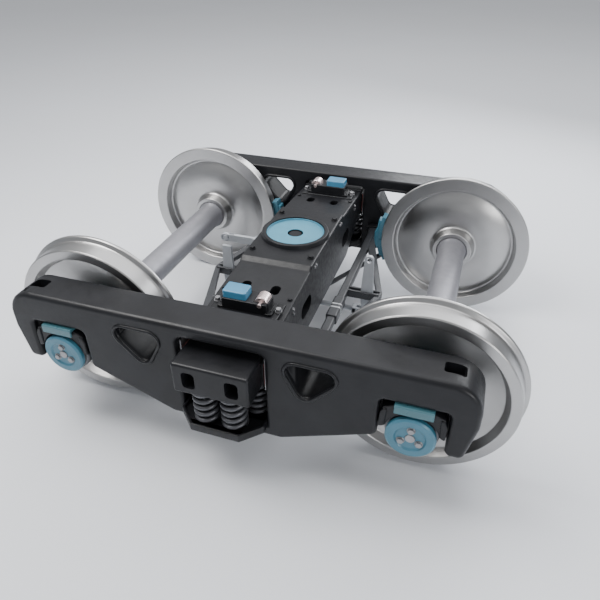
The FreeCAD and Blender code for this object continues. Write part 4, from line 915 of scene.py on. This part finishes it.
def add_bowl(trunk):
    """Rim and floor of the centre bowl, on a plate across the middle of the top."""
    ring = rounded([
        (PLATFORM - 0.004, LINER_R + 0.002), (BOWL_TOP, LINER_R + 0.001, 0.004),
        (BOWL_TOP, LINER_R + 0.026, 0.006), (PLATFORM - 0.004, LINER_R + 0.034)])
    trunk.lathe(ring, (0, 0, 0), "Z", 120)
    plate = box_outline(-0.206, -0.300, 0.206, 0.300, 0.030)
    trunk.prism(plate, "XY", PLATFORM - 0.010, PLATFORM + 0.0001, 0.003,
                [circle(0, 0, LINER_R + 0.004, 64)], back=0.0)
    trunk.prism(circle(0, 0, LINER_R + 0.003, 64), "XY", PLATFORM - 0.010, PLATFORM,
                0.0, [circle(0, 0, 0.038, 48)])


def bolster_end(s, step, half):
    """One end of the bolster, in the side frame, with its wedge pockets and slots."""
    end = Shell().prism(box_outline(s * (step - 0.060), BOLSTER_FOOT, s * BOLSTER_Y,
                                    BOLSTER_END_TOP, 0.014), "YZ",
                        -BOLSTER_END_X, BOLSTER_END_X, 0.012)
    y = s * FRAME_Y
    cuts = Shell()
    mouth, back, root = LINING_FACE + 0.010, 0.1882, 0.1082
    foot, roof = BOLSTER_FOOT - 0.001, BOLSTER_FOOT + LINING_HEIGHT + 0.0015
    pocket_half, slot_half = 0.065, 0.034
    for sx in (-1, 1):
        pocket = [(sx * a, b) for a, b in ((mouth, foot), (mouth, roof), (back, roof),
                                           (root, BOLSTER_FOOT + 0.034), (root, foot))]
        cuts.prism(rounded(pocket), "XZ", y - pocket_half, y + pocket_half)
        x = sx * 0.110
        cuts.prism(box_outline(x - slot_half, BOLSTER_FOOT + 0.040, x + slot_half,
                               BOLSTER_END_TOP - 0.040, 0.020), "XZ",
                   s * (BOLSTER_Y - 0.070), s * (BOLSTER_Y + 0.010))
    end.less(cuts)
    seat_half, gusset_half = 0.076, 0.009
    end.prism(box_outline(s * (SIDE_SPOT - seat_half), BELLY + 0.200,
                          s * (SIDE_SPOT + seat_half), SIDE_SEAT, 0.006), "YZ",
              -half + 0.030, half - 0.030, 0.008)
    low = BOLSTER_END_TOP - 0.002
    for x in (-0.100, 0.100):
        end.prism(rounded([(s * (step - 0.004), low), (s * (step + 0.030), low),
                           (s * (step - 0.004), low + 0.026)]), "YZ",
                  x - gusset_half, x + gusset_half, 0.001)
    return end


def add_bolster_brackets(shell, half):
    """Hooks on the webs that hold the brake rigging's safety straps."""
    bend = ((-0.010, 0.160), (0.036, 0.158), (0.052, 0.146), (0.056, 0.124), (0.046, 0.106))
    foot, foot_half, level = 0.010, 0.035, 0.565
    for sx, sy in ((1, -1), (-1, 1)):
        y = sy * 0.660
        web = sx * half
        shell.tube([(web + sx * out, y, BELLY + rise) for out, rise in bend], 0.009, 12)
        shell.prism(box_outline(y - foot_half, level - foot_half, y + foot_half,
                                level + foot_half, 0.010), "YZ",
                    web - sx * 0.004, web + sx * foot, 0.003)
        for dy in (-0.022, 0.022):
            shell.bolt((web + sx * (foot - 0.001), y + dy, level), (sx, 0, 0), 0.018, 0.012)


def add_bolster_ribs(shell, step, shoulder, half):
    """Lips along the ends of the top, and ribs between the holes beside them."""
    low, high, rib = shoulder - 0.004, shoulder + 0.010, 0.005
    for s in (-1, 1):
        shell.prism(box_outline(s * (step - 0.010), low, s * (step + 0.003), high, 0.003), "YZ",
                    -half + 0.004, half - 0.004, 0.003)
        for x in (-0.128, 0.0, 0.128):
            shell.prism(box_outline(x - rib, s * 0.840, x + rib, s * 0.872), "XY",
                        low, high, 0.002)


def add_web_bolts(half):
    """Pairs of small bright bolts high on the webs."""
    bolts = Shell()
    for sx in (-1, 1):
        for sy in (-1, 1):
            for y, drop in ((0.262, 0.036), (0.290, 0.036), (0.668, 0.078), (0.668, 0.104)):
                bolts.bolt((sx * (half - 0.001), sy * y, PLATFORM - drop), (sx, 0, 0), 0.016,
                           0.009, 0.002)
    piece("bolster_web_bolts", bolts, look("bright_steel"), "bolster_body")


def add_centre_liner():
    """Thin dish with a rim and a hole for the king pin."""
    r, hole, z = LINER_R, 0.048, LINER_FOOT
    floor, rim = z + 0.005, z + 0.017
    wall = r - 0.005
    profile = rounded([(z, hole, 0.001), (z, r, 0.002), (rim, r, 0.002), (rim, wall, 0.002),
                       (floor, wall, 0.004), (floor, hole, 0.001)], 4)
    piece("centre_liner_disc", Shell().lathe(profile, (0, 0, 0), "Z", 128),
          look("pale_liner"), "bolster_body", ["centre_liner"])


def wedge_corners(sign):
    """Section of a wedge: an upright face, a slope and a flat foot."""
    face, foot = LINING_FACE - LINING, BOLSTER_FOOT
    top, toe = foot + LINING_HEIGHT, face - 0.098
    corners = [(face, foot, 0.002), (face, top, 0.003), (face - 0.018, top, 0.005),
               (toe, foot + 0.034, 0.010), (toe, foot, 0.004)]
    return corners if sign > 0 else flipped(corners)


def add_wedges():
    """Four cast wedges, each with a pressed lining on its face."""
    linings = Shell()
    low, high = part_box("wedge_linings")
    half, lining_half = 0.064, 0.058
    for end, sx in ENDS:
        for name, side in SIDES:
            y = side * FRAME_Y
            shell = Shell().prism(rounded(wedge_corners(sx), 4), "XZ", y - half, y + half,
                                  0.004)
            piece(f"friction_wedge_{end}_{name}_casting", shell, look("black_casting"),
                  "bolster_body", [f"friction_wedge_{end}_{name}"])
            linings.prism(box_outline(y - lining_half, low[2], y + lining_half, high[2], 0.008),
                          "YZ", sx * (LINING_FACE - LINING), sx * LINING_FACE, 0.001)
    piece("wedge_linings_pressed", linings, look("lining_red"), "bolster_body",
          ["wedge_linings"])


def add_side_bearing(name):
    """Open housing with a sprung cap at one end and a roller at the other."""
    node = f"side_bearing_housing_{name}"
    low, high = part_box(node)
    y = middle(node).y
    half_x, half_y = reach(node, 0), reach(node, 1)
    base, top = low[2], high[2]
    roller = middle(f"side_bearing_roller_{name}")
    cap_low, cap_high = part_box(f"side_bearing_cap_{name}")
    cap_x = (cap_low[0] + cap_high[0]) / 2
    floor = base + 0.012
    shell = Shell().prism(box_outline(-half_x, y - half_y, half_x, y + half_y, 0.012), "XY",
                          base, floor, 0.004)
    well, wall = 0.0645, 0.012
    trough, trough_y = 0.039, 0.036
    holes = [box_outline(cap_x - well, y - half_y + wall, cap_x + well, y + half_y - wall,
                         0.010),
             box_outline(roller.x - trough, y - trough_y, roller.x + trough, y + trough_y,
                         0.004)]
    outside = box_outline(-half_x + 0.026, y - half_y, half_x - 0.026, y + half_y, 0.014)
    shell.prism(outside, "XY", floor - 0.002, top, 0.004, holes, back=0.0)
    for s in (-1, 1):
        bead = s * (half_x - 0.012)
        shell.tube([(bead, y - 0.030, floor), (bead, y + 0.030, floor)], 0.004, 8)
    piece(f"{node}_casting", shell, look("black_casting"), "bolster_body", [node])
    cap = Shell().prism(box_outline(cap_low[0], cap_low[1], cap_high[0], cap_high[1], 0.012),
                        "XY", cap_low[2], cap_high[2], 0.007, steps=4)
    piece(f"side_bearing_cap_{name}_block", cap, look("mid_blue"), f"side_cap_{name}",
          [f"side_bearing_cap_{name}"])
    radius = reach(f"side_bearing_roller_{name}", 2)
    length = reach(f"side_bearing_roller_{name}", 1)
    pin, face = 0.01195, 0.035
    left = [(-length, 0.0), (-length, pin, 0.002), (-face, pin), (-face, radius - 0.003),
            (0.003 - face, radius, 0.002)]
    profile = rounded(left + flipped(left))
    piece(f"side_bearing_roller_{name}_turned", Shell().lathe(profile, roller, segments=64),
          look("roller_steel"), f"side_roller_{name}", [f"side_bearing_roller_{name}"], roller)


def add_side_bearing_bolts():
    """A bolt at each end of both housings."""
    low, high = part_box("side_bearing_bolts")
    shell = Shell()
    for _, side in SIDES:
        for s in (-1, 1):
            shell.bolt((s * (high[0] - 0.0173), side * SIDE_SPOT, low[2]), (0, 0, 1),
                       0.028, high[2] - low[2])
    piece("side_bearing_bolt_heads", shell, look("bright_steel"), "bolster_body",
          ["side_bearing_bolts"])


# Brake rigging

def add_brake_beam(rig, s):
    """Bar with a sleeve, end lugs, a V tie and the strut that carries the lever."""
    node = f"brake_beam_{rig}"
    z, spot, half = BEAM_Z, s * BEAM_X, BEAM_HALF
    end, lug = 0.864, reach(node, 1)
    sleeve, lug_half = 0.034, 0.038
    shell = Shell().prism(box_outline(spot - half, z - half, spot + half, z + half, 0.010),
                          "XZ", -end, end, 0.004)
    shell.prism(box_outline(spot - sleeve, z - sleeve, spot + sleeve, z + sleeve, 0.012),
                "XZ", -0.330, -0.120, 0.006)
    for sy in (-1, 1):
        shell.prism(box_outline(spot - lug_half, sy * (lug - 0.070), spot + lug_half,
                                sy * lug, 0.008), "XY", z - 0.0187, z + 0.018, 0.004)
    apex, tie, tie_end, point = 0.236, 0.034, 0.720, 0.016
    tip = spot + s * apex
    back = spot + s * tie
    notch = spot + s * (apex - tie)
    outer = [(spot, -tie_end), (back, -tie_end, 0.010), (tip, -point, 0.010),
             (tip, point, 0.010), (back, tie_end, 0.010), (spot, tie_end),
             (spot, tie_end - 0.085), (notch, 0.010), (notch, -0.010),
             (spot, 0.085 - tie_end)]
    shell.prism(rounded(outer, 4), "XY", z - 0.017, z + 0.017, 0.004)
    for sy in (-1, 1):
        shell.prism(box_outline(spot, z - half, spot + s * (apex - 0.014), z + half, 0.008),
                    "XZ", sy * 0.0125, sy * 0.026, 0.003)
        shell.lathe([(sy * 0.0255, 0.0), (sy * 0.0255, 0.024), (sy * 0.031, 0.023),
                     (sy * 0.031, 0.0)], (s * LEVER_X, 0, z), "Y", 32)
    piece(f"{node}_forging", shell, look("dark_paint"), f"beam_{rig}", [node])
    bands = Shell()
    wide = sleeve + 0.0008
    for y in (-0.205, -0.240):
        bands.prism(box_outline(spot - wide, z - wide, spot + wide, z + wide, 0.0128), "XZ",
                    y - 0.005, y + 0.005, 0.0008)
    piece(f"brake_beam_{rig}_bands", bands, (BAND, "grey_paint"), f"beam_{rig}")


def tread_radius(y):
    """Radius of the coned tread at a place across the track."""
    start, end = RIM_IN + FLANGE_WIDTH, RIM_OUT - TREAD_EDGE
    return TREAD_R + TREAD_FALL - 2 * TREAD_FALL * (y - start) / (end - start)


def shoe_block(s, side, low, high, back, first, last, sink=0.0, steps=12):
    """Rings of a block whose face follows the cone of the tread."""
    face = [(y, tread_radius(y) + SHOE_GAP + sink, 0.004) for y in (low, high)]
    section = rounded([face[0], face[1], (high, back, 0.004), (low, back, 0.004)], 3)
    rings = []
    for i in range(steps + 1):
        angle = first + (last - first) * i / steps
        ring = []
        for p in section:
            spot = shoe_spot(s, p.y, angle)
            ring.append((spot.x, side * p.x, spot.y))
        rings.append(ring)
    return rings


def shoe_spot(s, radius, angle):
    """Place at a radius from the axle, at an angle above the level on the beam's side."""
    centre = Vector((s * AXLE_X, AXLE_Z))
    return centre + radius * Vector((-s * math.cos(angle), math.sin(angle)))


def shoe_band(s, inner, outer, first, last, steps=16):
    """Outline between two radii from the axle and two angles."""
    points = [shoe_spot(s, inner, first + (last - first) * i / steps) for i in range(steps + 1)]
    return points + [shoe_spot(s, outer, last + (first - last) * i / steps)
                     for i in range(steps + 1)]


def add_shoes_and_heads(rig, s):
    """A shoe in two halves and its head, on each end of a brake beam."""
    inner, back = TREAD_R + SHOE_GAP, SHOE_BACK
    aim = math.asin((BEAM_Z - AXLE_Z) / inner)
    spread, split, groove = 0.165 / inner, 0.012, 0.020
    head_half, head_thick, web_half, web_rise = 0.034, 0.018, 0.007, 0.090
    bar = s * (BEAM_X + BEAM_HALF)
    tread = s * (AXLE_X - back - head_thick / 2)
    edges = SHOE_Y - SHOE_HALF, SHOE_Y + SHOE_HALF
    core = edges[0] + 0.004, edges[1] - 0.004
    shoes, heads = Shell(), Shell()
    for _, side in SIDES:
        y = side * SHOE_Y
        for part in (-1, 1):
            shoes.loft(shoe_block(s, side, *edges, back, aim + part * split,
                                  aim + part * spread))
        shoes.loft(shoe_block(s, side, *core, back, aim - groove, aim + groove, 0.012, 4))
        heads.prism(shoe_band(s, back, back + head_thick, aim - spread * 0.8,
                              aim + spread * 0.8), "XZ", y - head_half, y + head_half, 0.003)
        for dy in (-BEAM_HALF, BEAM_HALF):
            web = rounded([(bar, BEAM_Z - BEAM_HALF), (bar, BEAM_Z + BEAM_HALF),
                           (tread, BEAM_Z + web_rise), (tread, BEAM_Z - web_rise)])
            heads.prism(web, "XZ", y + dy - web_half, y + dy + web_half, 0.002)
        heads.prism(box_outline(bar, BEAM_Z - 0.050, bar + s * 0.012, BEAM_Z + 0.050, 0.006),
                    "XZ", y - head_half, y + head_half, 0.002)
    piece(f"brake_shoes_{rig}_blocks", shoes, look("shoe_blue"), f"beam_{rig}",
          [f"brake_shoes_{rig}"])
    piece(f"brake_heads_{rig}_castings", heads, look("light_blue"), f"beam_{rig}",
          [f"brake_heads_{rig}"])


def steel_pin(shell, half, spot):
    """Pin across the bogie, with its edges rounded."""
    shell.lathe(rounded([(-half, 0.0), (-half, PIN_R, 0.002), (half, PIN_R, 0.002),
                         (half, 0.0)]), spot, "Y", 28)


def add_lever(rig, s):
    """Flat lever with three eyes; the dead one has a tongue and a pin for the link."""
    node = f"brake_lever_{rig}"
    low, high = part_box(node)
    x, half, end = s * LEVER_X, LEVER_Y, 0.030
    foot, head = low[2] + end, high[2] - end
    outline = rounded([
        (x - 0.026, foot - end, 0.024), (x + 0.026, foot - end, 0.024),
        (x + 0.040, BEAM_Z, 0.12), (x + 0.026, head + end, 0.024),
        (x - 0.026, head + end, 0.024), (x - 0.040, BEAM_Z, 0.12)])
    eye = PIN_BORE if s > 0 else 0.020
    split = head - 0.062
    holes = [circle(x, BEAM_Z, PIN_BORE, 28), circle(x, foot, eye, 28)]
    if s > 0:
        holes.append(circle(x, head, PIN_BORE, 28))
        shell = Shell().prism(outline, "XZ", -half, half, 0.003, holes)
    else:
        shell = Shell().prism(clipped(outline, split), "XZ", -half, half, 0.003, holes)
        shell.prism([Vector((p.x, max(p.y, split - 0.020))) for p in outline
                     if p.y > split - 0.060], "XZ", -half / 2, half / 2, 0.002)
        steel_pin(shell, half + 0.004, (x, 0, head))
    piece(f"{node}_forging", shell, look("grey_paint"), f"lever_{rig}", [node])


def clipped(points, top):
    """The part of a closed outline below a level."""
    kept = []
    for here, there in zip(points, points[1:] + points[:1]):
        if here.y <= top:
            kept.append(here)
        if (here.y <= top) != (there.y <= top):
            share = (top - here.y) / (there.y - here.y)
            kept.append(here + (there - here) * share)
    return kept


def add_rod():
    """Rod with a fork at each end, and the pins that hold it to the levers."""
    x, z = LEVER_X, ROD_Z
    gap, fork, half, pin_half = 0.012, 0.027, 0.023, 0.031
    shell = Shell().tube([(-x + 0.075, 0, z), (x - 0.075, 0, z)], 0.016, 20)
    for s in (-1, 1):
        for sy in (-1, 1):
            shell.prism(box_outline(s * (x + 0.026), z - half, s * (x - 0.086), z + half,
                                    0.018), "XZ", sy * gap, sy * fork, 0.003)
        shell.prism(box_outline(s * (x - 0.058), z - half, s * (x - 0.092), z + half, 0.010),
                    "XZ", -fork, fork, 0.005)
    piece("connecting_rod_forging", shell, look("grey_paint"), "rod", ["connecting_rod"])
    pins = Shell()
    for s in (-1, 1):
        steel_pin(pins, pin_half, (s * x, 0, z))
        inside = 0.0035 - pin_half
        pins.lathe(rounded([(-pin_half, 0.0), (-pin_half, 0.023, 0.002), (inside, 0.023, 0.001),
                            (inside, 0.0)]), (s * x, 0, z), "Y", 28)
    piece("rod_pins_steel", pins, look("bright_steel"), "rod", ["rod_pins"])


def add_anchor():
    """Bracket on the bolster's web, and the slotted link from it to the dead lever."""
    z = middle("dead_lever_anchor").z
    web = -BOLSTER_X
    plate, end = web - 0.014, 0.026
    x = web - 0.045
    shell = Shell()
    for sy in (-1, 1):
        shell.prism(rounded([(x - end, z - end, 0.020), (web, z - 0.044), (web, z + 0.044),
                             (x - end, z + end, 0.020)]), "XZ", sy * 0.012, sy * 0.025, 0.003)
        for rise in (-0.034, 0.034):
            shell.bolt((plate, sy * 0.050, z + rise), (-1, 0, 0), 0.020, 0.014)
    shell.prism(box_outline(-0.070, z - 0.052, 0.070, z + 0.052, 0.012), "YZ", plate, web,
                0.003)
    steel_pin(shell, 0.029, (x, 0, z))
    piece("dead_lever_anchor_bracket", shell, look("grey_paint"), "bolster_body",
          ["dead_lever_anchor"])
    link_low, link_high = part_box("anchor_link")
    half = reach("anchor_link", 1)
    far = -LEVER_X
    eye = circle(x, z, PIN_R + 0.0002, 28)
    slot = box_outline(far - 0.024, z - 0.018, far + 0.021, z + 0.018, 0.012)
    bar = box_outline(link_low[0], z - end, link_high[0], z + end, 0.022)
    body = Shell().prism(bar, "XZ", -half, half, 0.0025, [eye, slot])
    fork = Shell().prism(box_outline(far - 0.060, -half / 2 - 0.0005, far + 0.056,
                                     half / 2 + 0.0005), "XY", z - 0.040, z + 0.040)
    piece("anchor_link_forging", body.less(fork), look("grey_paint"), "link", ["anchor_link"])


# Cross brace

def add_cross_brace():
    """Two crossed rods between the side frames, with a ball at each end."""
    foot = FRAME_Y - FRAME_HALF + 0.012
    end_y = foot - 0.62 * BALL_R
    bend, collar = 0.024, 0.020
    for name, sign in (("upper", 1), ("lower", -1)):
        node = f"cross_brace_{name}"
        first = Vector((-BRACE_X, -sign * end_y, BRACE_Z))
        last = Vector((BRACE_X, sign * end_y, BRACE_Z))
        path = []
        for i in range(21):
            lift = sign * bend * (1 - abs(i / 10 - 1))
            path.append(first.lerp(last, i / 20) + Vector((0, 0, lift)))
        run = (last - first).normalized()
        path = [p for p in path if min((p - first).length, (p - last).length) > collar]
        path = [first + run * collar] + path + [last - run * collar]
        radii = [BRACE_R] * len(path)
        for i in (0, 1, -2, -1):
            radii[i] = collar
        shell = Shell().tube(path, radii, 18)
        piece(f"{node}_rod", shell, look("dark_paint"), "frames", [node])
    ends = Shell()
    cut = foot - end_y
    profile = [(-BALL_R, 0.0)]
    for i in range(1, 15):
        angle = (math.pi / 2 + math.asin(cut / BALL_R)) * i / 14 - math.pi / 2
        profile.append((BALL_R * math.sin(angle), BALL_R * math.cos(angle)))
    profile.append((cut, 0.0))
    for sx in (-1, 1):
        for _, side in SIDES:
            ends.lathe([(side * a, r) for a, r in profile],
                       (sx * BRACE_X, side * end_y, BRACE_Z), "Y", 40)
    piece("cross_brace_ball_ends", ends, (BALL_STEEL, "bright_steel"), "frames",
          ["cross_brace_ends"])


for end_name, end_sign in ENDS:
    add_wheelset(end_name, end_sign)
    for side_name, side_sign in SIDES:
        add_bearing(end_name, end_sign, side_name, side_sign)
        add_adapter(end_name, end_sign, side_name, side_sign)
        add_pad(end_name, side_name, side_sign)
    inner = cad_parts[f"bearing_inner_{end_name}"]
    inner.data.materials.clear()
    inner.data.materials.append(LOOKS["axle_steel"])

for side_name, side_sign in SIDES:
    add_side_frame(side_name, side_sign)
    add_springs(side_name, side_sign)
    add_side_bearing(side_name)

add_wear_plates()
add_bolster()
add_centre_liner()
add_wedges()
add_side_bearing_bolts()
for rig_name, rig_sign in RIGS:
    add_brake_beam(rig_name, rig_sign)
    add_shoes_and_heads(rig_name, rig_sign)
    add_lever(rig_name, rig_sign)
add_rod()
add_anchor()
add_cross_brace()


# Floor, lights and camera

def add_floor():
    """Wide plain floor under the wheels."""
    data = bpy.data.meshes.new("studio_floor")
    data.from_pydata([(p.x, p.y, 0) for p in box_outline(-60, -60, 60, 60)], [],
                     [(0, 1, 2, 3)])
    floor = bpy.data.objects.new("studio_floor", data)
    bpy.context.scene.collection.objects.link(floor)
    n = Nodes("studio_floor", 0.75, 0.0)
    n.paint(n.noise(0.4, 2.0), shades((0.74, 0.76, 0.80), 0.012))
    data.materials.append(n.material)


def add_light(name, spot, aim, size, power, colour=(1, 1, 1)):
    """Soft box at a spot, turned to what it aims at."""
    lamp = bpy.data.lights.new(name, "AREA")
    lamp.shape = "RECTANGLE"
    lamp.size, lamp.size_y = size
    lamp.energy = power
    lamp.color = colour
    made = bpy.data.objects.new(name, lamp)
    made.location = spot
    made.rotation_euler = (Vector(aim) - Vector(spot)).to_track_quat("-Z", "Y").to_euler()
    bpy.context.scene.collection.objects.link(made)


def add_world():
    """Pale sky that is darker towards the ground."""
    world = bpy.data.worlds.new("studio")
    bpy.context.scene.world = world
    world.use_nodes = True
    tree = world.node_tree
    back = tree.nodes["Background"]
    back.inputs["Strength"].default_value = 0.62
    where = tree.nodes.new("ShaderNodeTexCoord")
    parts = tree.nodes.new("ShaderNodeSeparateXYZ")
    ramp = tree.nodes.new("ShaderNodeValToRGB")
    ramp.color_ramp.elements[0].position = 0.0
    ramp.color_ramp.elements[0].color = (0.62, 0.65, 0.70, 1)
    ramp.color_ramp.elements[1].position = 0.75
    ramp.color_ramp.elements[1].color = (1.0, 1.0, 1.0, 1)
    tree.links.new(where.outputs["Generated"], parts.inputs["Vector"])
    tree.links.new(parts.outputs["Z"], ramp.inputs["Fac"])
    tree.links.new(ramp.outputs["Color"], back.inputs["Color"])


def add_camera():
    """The photograph's angle: 18 degrees round from the near side, 34.5 degrees up."""
    azimuth, elevation, distance = math.radians(18.4), math.radians(34.5), 3.72
    aim = Vector((0.03, 0.0, 0.33))
    away = Vector((math.sin(azimuth) * math.cos(elevation),
                   -math.cos(azimuth) * math.cos(elevation), math.sin(elevation)))
    lens = bpy.data.cameras.new("camera")
    lens.lens = 33.5
    lens.sensor_width = 36
    lens.clip_end = 200
    made = bpy.data.objects.new("camera", lens)
    made.location = aim + away * distance
    made.rotation_euler = (-away).to_track_quat("-Z", "Y").to_euler()
    bpy.context.scene.collection.objects.link(made)
    bpy.context.scene.camera = made


add_floor()
add_world()
add_light("sky", (0, 3.0, 9.0), (0, 2.5, 0), (12.0, 12.0), 900, (0.97, 0.98, 1.0))
add_light("key", (-2.2, -1.2, 4.6), (0, 0, 0.4), (3.0, 2.2), 230, (1.0, 0.99, 0.97))
add_light("back", (2.0, 4.5, 3.2), (0, 0, 0.5), (5.0, 1.2), 210, (0.95, 0.97, 1.0))
add_light("fill", (4.2, -3.6, 2.0), (0, 0, 0.4), (2.4, 1.4), 70)
add_camera()
